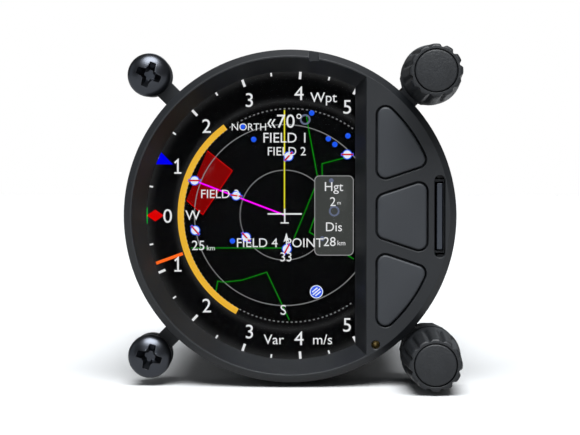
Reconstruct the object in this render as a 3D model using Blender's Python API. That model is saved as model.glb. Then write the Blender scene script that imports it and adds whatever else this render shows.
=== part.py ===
"""A round panel instrument: moving-map display, two push-and-turn knobs, three buttons, memory card.

The frame: the origin is on the instrument's axis, in the plane where its four ears bear on the
back of the panel. The face looks along -Y, +X is to the right of the face and +Z is up.
"""

import math

import bmesh
import bpy
from mathutils import Matrix, Vector

MM = 0.001

# Clearance that stands for a touching fit between two separate pieces.
FIT = 0.3 * MM

# Facets round a full turn: large rings, knobs, small turned pieces.
RING_STEPS = 60
KNOB_STEPS = 30
SMALL_STEPS = 14

# The panel that the instrument is fastened to, and its hole pattern.
PANEL_THICKNESS = 3.0 * MM
HOLE_PITCH = 47.15 * MM

# The front frame: a bezel that comes through the panel hole, and a flange with four ears behind it.
BEZEL_RADIUS = 27.7 * MM
BEZEL_PROUD = 4.0 * MM
BEZEL_CHAMFER = 1.1 * MM
RIM_WIDTH = 0.25 * MM
FLANGE_RADIUS = 27.9 * MM
FLANGE_THICKNESS = 3.0 * MM
EAR_NECK_WIDTH = 3.2 * MM
SCREW_EAR_RADIUS = 3.5 * MM
KNOB_EAR_RADIUS = 4.9 * MM
RIM_NOTCH_X = 4.0 * MM
RIM_NOTCH_WIDTH = 1.7 * MM
RIM_NOTCH_DEPTH = 0.55 * MM

# The sunk display opening: a cone on the left, a straight sloping wall on the right.
RECESS_DEPTH = 4.0 * MM
VIEW_RADIUS = 24.2 * MM
VIEW_RIGHT = 10.9 * MM
WALL_RIGHT = 12.7 * MM

# Pockets that are open to the back of the front frame.
DISPLAY_POCKET_RADIUS = 25.0 * MM
DISPLAY_POCKET_RIGHT = 13.0 * MM
BUTTON_POCKET_RADIUS = 25.4 * MM
PLATE_THICKNESS = 2.2 * MM
BOARD_POCKET_RADIUS = 25.6 * MM
SNAP_GROOVE_DEPTH = 0.5 * MM
SPIGOT_BEHIND_RECESS = 3.0 * MM
SPIGOT_LENGTH = RECESS_DEPTH + SPIGOT_BEHIND_RECESS
TUBE_WALL = 0.9 * MM

# The display stack, from the window back to the board that carries it.
WINDOW_THICKNESS = 1.0 * MM
GASKET_THICKNESS = 0.5 * MM
GASKET_WIDTH = 0.4 * MM
DISPLAY_THICKNESS = 1.4 * MM
BACKLIGHT_THICKNESS = 2.0 * MM
BOARD_GAP = 0.6 * MM
BOARD_THICKNESS = 1.6 * MM
SNAP_RING_WIDTH = 1.9 * MM
SNAP_RING_THICKNESS = 0.8 * MM
SNAP_RING_OPENING = math.radians(44.0)

# Three buttons in the plate to the right of the display.
BUTTON_LEFT = 14.4 * MM
BUTTON_ARC_RADIUS = 24.55 * MM
BUTTON_RIGHT = 22.8 * MM
BUTTON_CORNER = 1.45 * MM
BUTTON_PROUD = 0.35 * MM
BUTTON_EDGE = 0.3 * MM
BUTTON_LIP = 0.55 * MM
BUTTON_LIP_THICKNESS = 0.8 * MM
BUTTON_TRAVEL = 0.5 * MM
BUTTON_STEM_RADIUS = 1.5 * MM
RIB_WIDTH = 2.2 * MM
RIB_ANGLE = math.radians(18.5)
RIB_ROOT_X = 0.8 * MM
SWITCH_SITES = {
    "upper": (17.6 * MM, 11.6 * MM),
    "middle": (18.6 * MM, 0.0),
    "lower": (17.6 * MM, -11.6 * MM),
}
SWITCH_SIZE = 4.5 * MM
SWITCH_HEIGHT = 2.9 * MM
SWITCH_PLUNGER_RADIUS = 1.0 * MM
SWITCH_PLUNGER_PROUD = 1.4 * MM
SWITCH_WELL_DEPTH = 1.7 * MM

# The memory card, its slot and its socket.
SLOT_X = 24.87 * MM
SLOT_WIDTH = 1.75 * MM
SLOT_LENGTH = 13.6 * MM
CARD_WIDTH = 11.0 * MM
CARD_LENGTH = 15.0 * MM
CARD_THICKNESS = 0.9 * MM
CARD_SUNK = 0.8 * MM
CARD_PUSH = 0.8 * MM
SOCKET_WALL = 0.3 * MM
SOCKET_END_WALL = 0.5 * MM

# The light sensor beside the lowest button.
SENSOR_X = 14.26 * MM
SENSOR_Z = -21.34 * MM
SENSOR_HOLE_RADIUS = 0.7 * MM
SENSOR_RADIUS = 1.1 * MM

# The housing tube and its rear cover.
TUBE_LENGTH = 75.0 * MM
COVER_THICKNESS = 2.0 * MM
COVER_SPIGOT_LENGTH = 6.0 * MM
TUBE_SCREW_RADIUS = 1.2 * MM
TUBE_SCREW_LENGTH = 1.9 * MM
TUBE_SCREW_SETBACK = 1.7 * MM
TUBE_SCREW_ANGLES = (93.0, 183.0, 273.0)

# The main board and what stands on it.
MAIN_BOARD_WIDTH = 44.0 * MM
MAIN_BOARD_TOP = -5.4 * MM
MAIN_BOARD_FRONT = 12.5 * MM
MAIN_BOARD_REAR_SETBACK = 2.5 * MM
SHIELD_WIDTH = 22.0 * MM
SHIELD_LENGTH = 24.0 * MM
SHIELD_HEIGHT = 4.0 * MM
PRESSURE_NAMES = ("static", "pitot", "energy")
PRESSURE_PITCH = 8.5 * MM
PRESSURE_FIRST_X = -18.5 * MM
PRESSURE_Z = -1.2 * MM
PRESSURE_SENSOR_SIZE = 7.6 * MM
PRESSURE_SENSOR_HEIGHT = 7.0 * MM
PRESSURE_SENSOR_FRONT = 42.0 * MM
NIPPLE_RADIUS = 1.6 * MM
NIPPLE_LENGTH = 5.0 * MM
PORT_BORE_RADIUS = 1.0 * MM
PORT_THREAD_RADIUS = 2.5 * MM
PORT_FLANGE_RADIUS = 3.6 * MM
PORT_FLANGE_THICKNESS = 2.4 * MM
PORT_REACH = 12.0 * MM
PORT_BARBS = 3

# The connectors on the back.
JACK_WIDTH = 16.0 * MM
JACK_HEIGHT = 13.5 * MM
JACK_LENGTH = 18.0 * MM
JACK_LEFT = 5.0 * MM
JACK_PROUD = 1.6 * MM
JACK_MOUTH_WIDTH = 11.8 * MM
JACK_MOUTH_HEIGHT = 8.0 * MM
JACK_MOUTH_DEPTH = 12.0 * MM
POWER_WIDTH = 30.0 * MM
POWER_HEIGHT = 12.0 * MM
POWER_LENGTH = 10.0 * MM
POWER_MOUTH_WIDTH = 17.0 * MM
POWER_MOUTH_HEIGHT = 8.4 * MM
POWER_MOUTH_PROUD = 5.8 * MM
POWER_MOUTH_SLANT = math.radians(10.0)
POWER_PIN_RADIUS = 0.55 * MM
POWER_PIN_PITCH = 2.76 * MM
POWER_PIN_DEPTH = 4.0 * MM

# The panel-mounting screws on the left of the face.
SCREW_HEAD_RADIUS = 3.65 * MM
SCREW_HEAD_HEIGHT = 2.6 * MM
SCREW_HEAD_LAND = 0.7 * MM
SCREW_RADIUS = 1.95 * MM
SCREW_LENGTH = 10.0 * MM
SCREW_TURN = {"upper": math.radians(-22.0), "lower": math.radians(-17.0)}
CROSS_REACH = 2.2 * MM
CROSS_WIDTH = 1.15 * MM
CROSS_DEPTH = 1.9 * MM

# The two rotary encoders, whose bushings also clamp the panel.
BUSHING_RADIUS = 3.0 * MM
BUSHING_PROUD = 2.6 * MM
BUSHING_FLANGE_RADIUS = 4.2 * MM
BUSHING_FLANGE_THICKNESS = 0.7 * MM
PANEL_NUT_RADIUS = 4.25 * MM
PANEL_NUT_HEIGHT = 1.7 * MM
ENCODER_RADIUS = 4.7 * MM
ENCODER_LENGTH = 6.4 * MM
ENCODER_WALL = 0.7 * MM
PUSH_TRAVEL = 0.5 * MM
PLUNGER_THICKNESS = 0.7 * MM
ROTOR_RADIUS = 3.2 * MM
ROTOR_THICKNESS = 0.8 * MM
SHAFT_RADIUS = 1.5 * MM
FLEX_WIDTH = 4.0 * MM
FLEX_THICKNESS = 0.4 * MM

# The knobs: a fluted grip, a collet and its nut inside, and a cap that closes the front.
KNOB_HEIGHT = 15.0 * MM
KNOB_PANEL_GAP = 0.9 * MM
KNOB_SKIRT_WALL = 0.45 * MM
KNOB_BASE_RADIUS = PANEL_NUT_RADIUS + FIT + KNOB_SKIRT_WALL
KNOB_FRONT_RADIUS = 4.3 * MM
KNOB_SKIRT = 1.9 * MM
KNOB_EDGE = 0.2 * MM
FLUTES = 12
FLUTE_DEPTH = 0.45 * MM
FLUTE_SHARE = 0.55
FLUTE_RUN_IN = 2.4 * MM
CAP_RADIUS = 3.42 * MM
CAP_GROOVE = 0.3 * MM
CAP_THICKNESS = 1.0 * MM
CAP_PLUG_RADIUS = 2.7 * MM
CAP_PLUG_LENGTH = 0.9 * MM
CAP_CROWN = 0.12 * MM
COLLET_WALL = 0.55 * MM
COLLET_NUT_WALL = 0.5 * MM
COLLET_NUT_HEIGHT = 1.7 * MM
SHAFT_SETBACK = 3.6 * MM

# Planes along the axis that several pieces share.
PANEL_FRONT = -PANEL_THICKNESS
BEZEL_FRONT = PANEL_FRONT - BEZEL_PROUD
LEDGE = BEZEL_FRONT + RECESS_DEPTH
PLATE_BACK = BEZEL_FRONT + PLATE_THICKNESS
WINDOW_FRONT = LEDGE + FIT
GASKET_FRONT = WINDOW_FRONT + WINDOW_THICKNESS + FIT
DISPLAY_FRONT = GASKET_FRONT + GASKET_THICKNESS + FIT
BACKLIGHT_FRONT = DISPLAY_FRONT + DISPLAY_THICKNESS + FIT
BOARD_FRONT = BACKLIGHT_FRONT + BACKLIGHT_THICKNESS + BOARD_GAP
BOARD_BACK = BOARD_FRONT + BOARD_THICKNESS
SNAP_RING_FRONT = BOARD_BACK + FIT
SPIGOT_BACK = FLANGE_THICKNESS + SPIGOT_LENGTH
TUBE_FRONT = FLANGE_THICKNESS + FIT
TUBE_BACK = TUBE_FRONT + TUBE_LENGTH
COVER_FRONT = TUBE_BACK + FIT
COVER_BACK = COVER_FRONT + COVER_THICKNESS
CARD_FRONT = BEZEL_FRONT + CARD_SUNK
ENCODER_FRONT = FLANGE_THICKNESS + FIT + BUSHING_FLANGE_THICKNESS + FIT
ENCODER_BACK = ENCODER_FRONT + ENCODER_LENGTH
KNOB_BACK = PANEL_FRONT - KNOB_PANEL_GAP
KNOB_FRONT = KNOB_BACK - KNOB_HEIGHT

# Radii that follow from the pieces inside or outside them.
TUBE_OUTER_RADIUS = FLANGE_RADIUS
TUBE_INNER_RADIUS = TUBE_OUTER_RADIUS - TUBE_WALL
SPIGOT_RADIUS = TUBE_INNER_RADIUS - FIT
DISPLAY_RADIUS = DISPLAY_POCKET_RADIUS - FIT
DISPLAY_RIGHT = DISPLAY_POCKET_RIGHT - FIT - 0.1 * MM
EAR_HOLE_RADIUS = SCREW_RADIUS + FIT
BUSHING_HOLE_RADIUS = BUSHING_RADIUS + FIT
SHAFT_BORE_RADIUS = SHAFT_RADIUS + FIT
HALF_PITCH = HOLE_PITCH / 2
EAR_REACH = math.hypot(HALF_PITCH, HALF_PITCH)

# What a cutter overruns the face it leaves through.
OVERRUN = 0.5 * MM


# ---------------------------------------------------------------- materials

FINISHES = {
    "bezel_black": ((0.034, 0.037, 0.042), 0.48, 0.0),
    "button_black": ((0.046, 0.050, 0.056), 0.50, 0.0),
    "knob_black": ((0.032, 0.035, 0.040), 0.52, 0.0),
    "screw_black": ((0.055, 0.058, 0.066), 0.28, 1.0),
    "window_glass": ((0.010, 0.010, 0.012), 0.06, 0.0),
    "display_black": ((0.006, 0.006, 0.008), 0.20, 0.0),
    "gasket_foam": ((0.020, 0.020, 0.020), 0.90, 0.0),
    "backlight_white": ((0.780, 0.790, 0.770), 0.45, 0.0),
    "board_green": ((0.022, 0.120, 0.060), 0.42, 0.0),
    "housing_black": ((0.030, 0.032, 0.035), 0.42, 0.6),
    "steel_bright": ((0.560, 0.570, 0.580), 0.28, 1.0),
    "brass": ((0.720, 0.540, 0.240), 0.30, 1.0),
    "zinc": ((0.480, 0.490, 0.500), 0.38, 1.0),
    "moulded_black": ((0.018, 0.018, 0.019), 0.55, 0.0),
    "sensor_amber": ((0.560, 0.400, 0.140), 0.25, 0.2),
    "flex_amber": ((0.420, 0.210, 0.050), 0.40, 0.0),
    "card_black": ((0.030, 0.036, 0.048), 0.40, 0.0),
}


def finish(name):
    """The material of that name, made when it is first asked for."""
    found = bpy.data.materials.get(name)
    if found:
        return found
    colour, roughness, metallic = FINISHES[name]
    made = bpy.data.materials.new(name)
    made.use_nodes = True
    shader = made.node_tree.nodes["Principled BSDF"]
    shader.inputs["Base Color"].default_value = (*colour, 1.0)
    shader.inputs["Roughness"].default_value = roughness
    shader.inputs["Metallic"].default_value = metallic
    made.diffuse_color = (*colour, 1.0)
    return made


# ---------------------------------------------------------------- outlines in the X-Z plane

def arc(centre, radius, start, end, steps):
    """Points along an arc, both ends included, angles in radians from +X towards +Z."""
    points = []
    for step in range(steps + 1):
        angle = start + (end - start) * step / steps
        points.append((centre[0] + radius * math.cos(angle), centre[1] + radius * math.sin(angle)))
    return points


def circle(centre, radius, steps):
    """A closed circle of points."""
    return arc(centre, radius, 0.0, 2 * math.pi, steps)[:-1]


def rectangle(centre, width, height):
    """A closed rectangle of points."""
    x, z = centre
    return [
        (x - width / 2, z - height / 2),
        (x + width / 2, z - height / 2),
        (x + width / 2, z + height / 2),
        (x - width / 2, z + height / 2),
    ]


def disc_left_of(radius, limit, steps=RING_STEPS):
    """A disc about the origin that a straight cut ends on its right, at x = limit."""
    corner = math.acos(limit / radius)
    return arc((0.0, 0.0), radius, corner, 2 * math.pi - corner, steps)


def disc_right_of(radius, limit, steps=RING_STEPS // 2):
    """The part of a disc about the origin that lies to the right of x = limit."""
    corner = math.acos(limit / radius)
    return arc((0.0, 0.0), radius, -corner, corner, steps)


def slot_outline(centre, width, length, steps=6):
    """An upright slot with round ends."""
    reach = (length - width) / 2
    top = arc((centre[0], centre[1] + reach), width / 2, 0.0, math.pi, steps)
    bottom = arc((centre[0], centre[1] - reach), width / 2, math.pi, 2 * math.pi, steps)
    return top + bottom


def line_edge(angle, through):
    """A straight edge, as its outward normal and its distance from the origin."""
    normal = (math.cos(angle), math.sin(angle))
    return normal, normal[0] * through[0] + normal[1] * through[1]


def meet_lines(first, second, inset):
    """Where two straight edges meet, once both are moved inwards by inset."""
    (ax, az), a_distance = first
    (bx, bz), b_distance = second
    a_distance -= inset
    b_distance -= inset
    spread = ax * bz - az * bx
    return ((a_distance * bz - b_distance * az) / spread, (b_distance * ax - a_distance * bx) / spread)


def meet_rim(edge, radius, inset, upper):
    """Where a straight edge meets a circle about the origin, once both are moved inwards by inset."""
    (nx, nz), distance = edge
    distance -= inset
    along = math.sqrt((radius - inset) ** 2 - distance ** 2)
    ends = [(nx * distance - nz * along, nz * distance + nx * along)]
    ends.append((nx * distance + nz * along, nz * distance - nx * along))
    return max(ends, key=lambda point: point[1]) if upper else max(ends, key=lambda point: point[0])


def normal_angle(edge):
    """The direction of an edge's outward normal."""
    return math.atan2(edge[0][1], edge[0][0])


def turn_between(start, end):
    """The end angle brought within one anticlockwise turn after the start angle."""
    while end < start:
        end += 2 * math.pi
    return end


LEFT_EDGE = line_edge(math.pi, (BUTTON_LEFT, 0.0))
RIGHT_EDGE = line_edge(0.0, (BUTTON_RIGHT, 0.0))


def rib_edge(side, outward):
    """The edge of a button along the rib between it and its neighbour.

    side is 1 for the rib above the middle button and -1 for the one below it; outward is 1 for
    the edge whose button lies below the rib, and -1 for the edge whose button lies above it.
    """
    facing = side * (math.pi / 2 + RIB_ANGLE)
    if outward < 0:
        facing += math.pi
    normal = (math.cos(facing), math.sin(facing))
    return normal, normal[0] * RIB_ROOT_X - RIB_WIDTH / 2


def corner_arc(centre, before, after, radius, steps=5):
    """The rounding between two edges, given as the directions of their normals."""
    return arc(centre, radius, before, turn_between(before, after), steps)


def wedge_button(offset):
    """The upper button's outline, moved outwards by offset: left edge, outer arc and rib edge."""
    rib = rib_edge(1, -1)
    radius = BUTTON_CORNER + offset
    rim = BUTTON_ARC_RADIUS
    top = meet_rim(LEFT_EDGE, rim, BUTTON_CORNER, True)
    right = meet_rim(rib, rim, BUTTON_CORNER, False)
    low = meet_lines(LEFT_EDGE, rib, BUTTON_CORNER)
    top_angle = math.atan2(top[1], top[0])
    right_angle = math.atan2(right[1], right[0])
    points = arc((0.0, 0.0), rim + offset, right_angle, top_angle, 8)
    points += corner_arc(top, top_angle, math.pi, radius)[1:]
    points += corner_arc(low, math.pi, normal_angle(rib), radius)
    points += corner_arc(right, normal_angle(rib), right_angle, radius)[:-1]
    return points


def middle_button(offset):
    """The middle button's outline, moved outwards by offset: four straight edges."""
    edges = [RIGHT_EDGE, rib_edge(1, 1), LEFT_EDGE, rib_edge(-1, 1)]
    points = []
    for index, edge in enumerate(edges):
        following = edges[(index + 1) % len(edges)]
        centre = meet_lines(edge, following, BUTTON_CORNER)
        radius = BUTTON_CORNER + offset
        points += corner_arc(centre, normal_angle(edge), normal_angle(following), radius)
    return points


def button_outline(which, offset):
    """The outline of one of the three buttons; the lower one mirrors the upper."""
    if which == "middle":
        return middle_button(offset)
    points = wedge_button(offset)
    if which == "lower":
        points = [(x, -z) for x, z in reversed(points)]
    return points


# ---------------------------------------------------------------- solids

ORIGIN = (0.0, 0.0, 0.0)


def place(name, mesh, material, location=ORIGIN, rotation=ORIGIN, smooth=True):
    """Put a finished mesh into the scene as one named object."""
    mesh.name = name
    if smooth:
        mesh.shade_smooth()
        mesh.set_sharp_from_angle(angle=math.radians(32.0))
    piece = bpy.data.objects.new(name, mesh)
    piece.location = location
    piece.rotation_euler = rotation
    bpy.context.scene.collection.objects.link(piece)
    if material:
        mesh.materials.append(finish(material))
    return piece


def as_mesh(bm, name):
    """Close a bmesh into a mesh with its faces pointing out."""
    bmesh.ops.remove_doubles(bm, verts=bm.verts, dist=0.0005 * MM)
    bmesh.ops.recalc_face_normals(bm, faces=bm.faces)
    mesh = bpy.data.meshes.new(name)
    bm.to_mesh(mesh)
    bm.free()
    return mesh


def prism_mesh(outlines, start, end, name="prism"):
    """Each outline in the X-Z plane, extruded along Y from start to end."""
    bm = bmesh.new()
    for outline in outlines:
        face = bm.faces.new([bm.verts.new((x, start, z)) for x, z in outline])
        raised = bmesh.ops.extrude_face_region(bm, geom=[face])
        moved = [item for item in raised["geom"] if isinstance(item, bmesh.types.BMVert)]
        bmesh.ops.translate(bm, verts=moved, vec=(0.0, end - start, 0.0))
    return as_mesh(bm, name)


def loft_mesh(sections, name="loft"):
    """A closed solid through outlines with equal point counts, each at its own Y."""
    bm = bmesh.new()
    rings = [[bm.verts.new((x, y, z)) for x, z in outline] for y, outline in sections]
    for ring, following in zip(rings, rings[1:]):
        for index, vertex in enumerate(ring):
            after = (index + 1) % len(ring)
            bm.faces.new((vertex, ring[after], following[after], following[index]))
    bm.faces.new(rings[0])
    bm.faces.new(rings[-1])
    return as_mesh(bm, name)


def turned_mesh(profile, steps, name="turned"):
    """A profile of (radius, y) points turned about the Y axis; one that starts on the axis ends on it."""
    bm = bmesh.new()
    corners = [bm.verts.new((radius, y, 0.0)) for radius, y in profile]
    edges = [bm.edges.new(pair) for pair in zip(corners, corners[1:])]
    if profile[0][0] > 0:
        edges.append(bm.edges.new((corners[-1], corners[0])))
    bmesh.ops.spin(
        bm,
        geom=corners + edges,
        cent=ORIGIN,
        axis=(0.0, 1.0, 0.0),
        angle=2 * math.pi,
        steps=steps,
        use_merge=True,
    )
    return as_mesh(bm, name)


def turned(name, profile, material, steps=SMALL_STEPS, location=ORIGIN):
    """A turned piece placed in the scene."""
    return place(name, turned_mesh(profile, steps, name), material, location)


def ring_profile(inner, outer, start, end):
    """The section of a plain ring."""
    return [(inner, start), (outer, start), (outer, end), (inner, end)]


def rod_profile(radius, start, end, edge=0.0):
    """The section of a plain rod, with an optional small chamfer at its front."""
    if not edge:
        return [(0.0, start), (radius, start), (radius, end), (0.0, end)]
    return [(0.0, start), (radius - edge, start), (radius, start + edge), (radius, end), (0.0, end)]


def boolean(target, tool_mesh, operation="DIFFERENCE", location=ORIGIN, rotation=ORIGIN):
    """Cut target with a tool, or join a tool to it; the tool stays as a hidden guide."""
    tool = place(f"{target.name}_tool", tool_mesh, None, location, rotation, smooth=False)
    tool.hide_render = True
    tool.display_type = "WIRE"
    modifier = target.modifiers.new(operation.title(), "BOOLEAN")
    modifier.operation = operation
    modifier.object = tool
    modifier.solver = "EXACT"
    return target


def box_mesh(low, high, name="box"):
    """A box between two corners."""
    centre = ((low[0] + high[0]) / 2, (low[2] + high[2]) / 2)
    outline = rectangle(centre, high[0] - low[0], high[2] - low[2])
    return prism_mesh([outline], low[1], high[1], name)


def soften(piece, width, segments=2):
    """Round a piece's sharp edges."""
    modifier = piece.modifiers.new("Soften", "BEVEL")
    modifier.width = width
    modifier.segments = segments
    modifier.limit_method = "ANGLE"
    modifier.angle_limit = math.radians(40.0)
    return piece


def radial_rods(radius, start, end, along, angles):
    """Rods that point at the axis, at one place along it, as one mesh for cutting."""
    bm = bmesh.new()
    for degrees in angles:
        angle = math.radians(degrees)
        middle = (start + end) / 2
        stand = Matrix.Rotation(math.pi / 2 - angle, 4, "Y")
        shift = Matrix.Translation((middle * math.cos(angle), along, middle * math.sin(angle)))
        bmesh.ops.create_cone(
            bm,
            cap_ends=True,
            segments=SMALL_STEPS,
            radius1=radius,
            radius2=radius,
            depth=end - start,
            matrix=shift @ stand,
        )
    return as_mesh(bm, "radial_rods")


# ---------------------------------------------------------------- the front frame

def ear_outline(ear_radius, direction):
    """One ear: a neck with parallel sides that runs out from the ring to a round end."""
    half_neck = EAR_NECK_WIDTH / 2
    spread = math.asin(half_neck / ear_radius)
    end = arc((EAR_REACH, 0.0), ear_radius, -math.pi + spread, math.pi - spread, 16)
    root = DISPLAY_POCKET_RADIUS + 0.8 * MM
    outline = [(root, -half_neck)] + end + [(root, half_neck)]
    cosine, sine = math.cos(direction), math.sin(direction)
    return [(x * cosine - z * sine, x * sine + z * cosine) for x, z in outline]


def ear_sites():
    """The four ears, as side, height, radius and hole radius: screws on the left, knobs on the right."""
    for height in (1, -1):
        yield -1, height, SCREW_EAR_RADIUS, EAR_HOLE_RADIUS
        yield 1, height, KNOB_EAR_RADIUS, BUSHING_HOLE_RADIUS


def cone_radius(y):
    """The radius of the sunk cone inside the rim, at one place along the axis."""
    rim_radius = BEZEL_RADIUS - BEZEL_CHAMFER - RIM_WIDTH
    return rim_radius + (VIEW_RADIUS - rim_radius) * (y - BEZEL_FRONT) / RECESS_DEPTH


def button_block():
    """The solid block to the right of the display, whose left side is the sloping wall."""
    sections = []
    for y, wall in ((BEZEL_FRONT, WALL_RIGHT), (LEDGE, VIEW_RIGHT)):
        sections.append((y, disc_right_of(cone_radius(y) + RIM_WIDTH / 2, wall)))
    return loft_mesh(sections)


def front_frame():
    """The bezel, its flange with four ears, and the spigot that the housing tube slides over."""
    groove_front = SNAP_RING_FRONT - FIT / 2
    groove_back = SNAP_RING_FRONT + SNAP_RING_THICKNESS + FIT
    groove_radius = BOARD_POCKET_RADIUS + SNAP_GROOVE_DEPTH
    profile = [
        (VIEW_RADIUS, LEDGE),
        (cone_radius(BEZEL_FRONT), BEZEL_FRONT),
        (BEZEL_RADIUS - BEZEL_CHAMFER, BEZEL_FRONT),
        (BEZEL_RADIUS, BEZEL_FRONT + BEZEL_CHAMFER),
        (BEZEL_RADIUS, 0.0),
        (FLANGE_RADIUS, 0.0),
        (FLANGE_RADIUS, FLANGE_THICKNESS),
        (SPIGOT_RADIUS, FLANGE_THICKNESS),
        (SPIGOT_RADIUS, SPIGOT_BACK),
        (BOARD_POCKET_RADIUS, SPIGOT_BACK),
        (BOARD_POCKET_RADIUS, groove_back),
        (groove_radius, groove_back),
        (groove_radius, groove_front),
        (BOARD_POCKET_RADIUS, groove_front),
        (BOARD_POCKET_RADIUS, BOARD_FRONT - FIT),
        (DISPLAY_POCKET_RADIUS, BOARD_FRONT - FIT),
        (DISPLAY_POCKET_RADIUS, LEDGE),
    ]
    frame = turned("front_frame", profile, "bezel_black", RING_STEPS)
    ears = [ear_outline(radius, math.atan2(height, side)) for side, height, radius, hole in ear_sites()]
    boolean(frame, prism_mesh(ears, 0.0, FLANGE_THICKNESS), "UNION")
    boolean(frame, button_block(), "UNION")
    button_pocket = disc_right_of(BUTTON_POCKET_RADIUS, DISPLAY_POCKET_RIGHT)
    boolean(frame, prism_mesh([button_pocket], PLATE_BACK, BOARD_FRONT))
    boolean(frame, front_openings())
    low, high = socket_box()
    room_low = (low.x - FIT, PLATE_BACK + 0.1 * MM, low.z - FIT)
    room_high = (high.x + FIT, SPIGOT_BACK + OVERRUN, high.z + FIT)
    boolean(frame, box_mesh(room_low, room_high))
    sensor_pocket = circle((SENSOR_X, SENSOR_Z), SENSOR_RADIUS + FIT, SMALL_STEPS)
    boolean(frame, prism_mesh([sensor_pocket], PLATE_BACK - 0.4 * MM, BOARD_FRONT - FIT / 2))
    holes = []
    for side, height, radius, hole in ear_sites():
        holes.append(circle((side * HALF_PITCH, height * HALF_PITCH), hole, SMALL_STEPS))
    boolean(frame, prism_mesh(holes, -OVERRUN, FLANGE_THICKNESS + OVERRUN))
    rods = radial_rods(
        TUBE_SCREW_RADIUS + FIT,
        BOARD_POCKET_RADIUS - OVERRUN,
        SPIGOT_RADIUS + OVERRUN,
        SPIGOT_BACK - TUBE_SCREW_SETBACK,
        TUBE_SCREW_ANGLES,
    )
    boolean(frame, rods)
    return frame


def front_openings():
    """Tools for everything that breaks through the face: buttons, card slot, sensor, rim notch."""
    outlines = [button_outline(which, FIT / 2) for which in SWITCH_SITES]
    outlines.append(slot_outline((SLOT_X, 0.0), SLOT_WIDTH, SLOT_LENGTH))
    outlines.append(circle((SENSOR_X, SENSOR_Z), SENSOR_HOLE_RADIUS, SMALL_STEPS))
    rim = math.sqrt((BEZEL_RADIUS - BEZEL_CHAMFER) ** 2 - RIM_NOTCH_X ** 2)
    notch_centre = (RIM_NOTCH_X, rim + BEZEL_CHAMFER - RIM_NOTCH_DEPTH / 2)
    outlines.append(rectangle(notch_centre, RIM_NOTCH_WIDTH, RIM_NOTCH_DEPTH + BEZEL_CHAMFER))
    return prism_mesh(outlines, BEZEL_FRONT - OVERRUN, PLATE_BACK + OVERRUN / 2)


# ---------------------------------------------------------------- the display stack

def display_stack():
    """Window, gasket, panel and backlight: plates of one outline, one behind the other."""
    outline = disc_left_of(DISPLAY_RADIUS, DISPLAY_RIGHT)
    window = prism_mesh([outline], WINDOW_FRONT, WINDOW_FRONT + WINDOW_THICKNESS)
    place("display_window", window, "window_glass")
    gasket = place(
        "window_gasket",
        prism_mesh([outline], GASKET_FRONT, GASKET_FRONT + GASKET_THICKNESS),
        "gasket_foam",
    )
    inner = disc_left_of(DISPLAY_RADIUS - GASKET_WIDTH, DISPLAY_RIGHT - GASKET_WIDTH)
    boolean(gasket, prism_mesh([inner], GASKET_FRONT - OVERRUN, GASKET_FRONT + GASKET_THICKNESS + OVERRUN))
    panel = prism_mesh([outline], DISPLAY_FRONT, DISPLAY_FRONT + DISPLAY_THICKNESS)
    place("display_panel", panel, "display_black")
    backlight = prism_mesh([outline], BACKLIGHT_FRONT, BACKLIGHT_FRONT + BACKLIGHT_THICKNESS)
    place("display_backlight", backlight, "backlight_white")


def display_board():
    """The round board behind the display, notched for the card socket, and its snap ring."""
    board_radius = BOARD_POCKET_RADIUS - FIT
    low, high = socket_box()
    disc = circle((0.0, 0.0), board_radius, RING_STEPS)
    board = place("display_board", prism_mesh([disc], BOARD_FRONT, BOARD_BACK), "board_green")
    notch_low = Vector((low.x - FIT, BOARD_FRONT - OVERRUN, low.z - FIT))
    notch_high = Vector((board_radius + OVERRUN, BOARD_BACK + OVERRUN, high.z + FIT))
    boolean(board, box_mesh(notch_low, notch_high))
    outer = BOARD_POCKET_RADIUS + SNAP_GROOVE_DEPTH - FIT
    opening = SNAP_RING_OPENING / 2
    outline = arc((0.0, 0.0), outer, opening, 2 * math.pi - opening, RING_STEPS - 12)
    outline += arc((0.0, 0.0), outer - SNAP_RING_WIDTH, 2 * math.pi - opening, opening, RING_STEPS - 12)
    ring = prism_mesh([outline], SNAP_RING_FRONT, SNAP_RING_FRONT + SNAP_RING_THICKNESS)
    place("retaining_ring", ring, "steel_bright")


def light_sensor():
    """The small sensor that looks out through a hole in the face."""
    front = PLATE_BACK - 0.4 * MM + FIT
    profile = [
        (0.0, front),
        (SENSOR_RADIUS * 0.7, front + 0.15 * MM),
        (SENSOR_RADIUS, front + 0.6 * MM),
        (SENSOR_RADIUS, BOARD_FRONT - FIT),
        (0.0, BOARD_FRONT - FIT),
    ]
    turned("light_sensor", profile, "sensor_amber", SMALL_STEPS, (SENSOR_X, 0.0, SENSOR_Z))


# ---------------------------------------------------------------- buttons and switches

def button(which):
    """A button cap with a lip that keeps it behind the plate and a stem that reaches its switch."""
    cap_front = BEZEL_FRONT - BUTTON_PROUD
    lip_front = PLATE_BACK + FIT
    lip_back = lip_front + BUTTON_LIP_THICKNESS
    stem_back = BOARD_FRONT - FIT - SWITCH_HEIGHT - SWITCH_PLUNGER_PROUD - FIT
    outline = button_outline(which, -FIT / 2)
    inner = button_outline(which, -FIT / 2 - BUTTON_EDGE)
    middle = button_outline(which, -FIT / 2 - BUTTON_EDGE * 0.3)
    sections = [
        (cap_front, inner),
        (cap_front + BUTTON_EDGE * 0.3, middle),
        (cap_front + BUTTON_EDGE, outline),
        (lip_front + BUTTON_LIP_THICKNESS / 2, outline),
    ]
    piece = place(f"{which}_button", loft_mesh(sections), "button_black")
    lip = button_outline(which, BUTTON_LIP)
    boolean(piece, prism_mesh([lip], lip_front, lip_back), "UNION")
    stem = circle(SWITCH_SITES[which], BUTTON_STEM_RADIUS, SMALL_STEPS)
    boolean(piece, prism_mesh([stem], lip_back - BUTTON_LIP_THICKNESS / 2, stem_back), "UNION")


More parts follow.
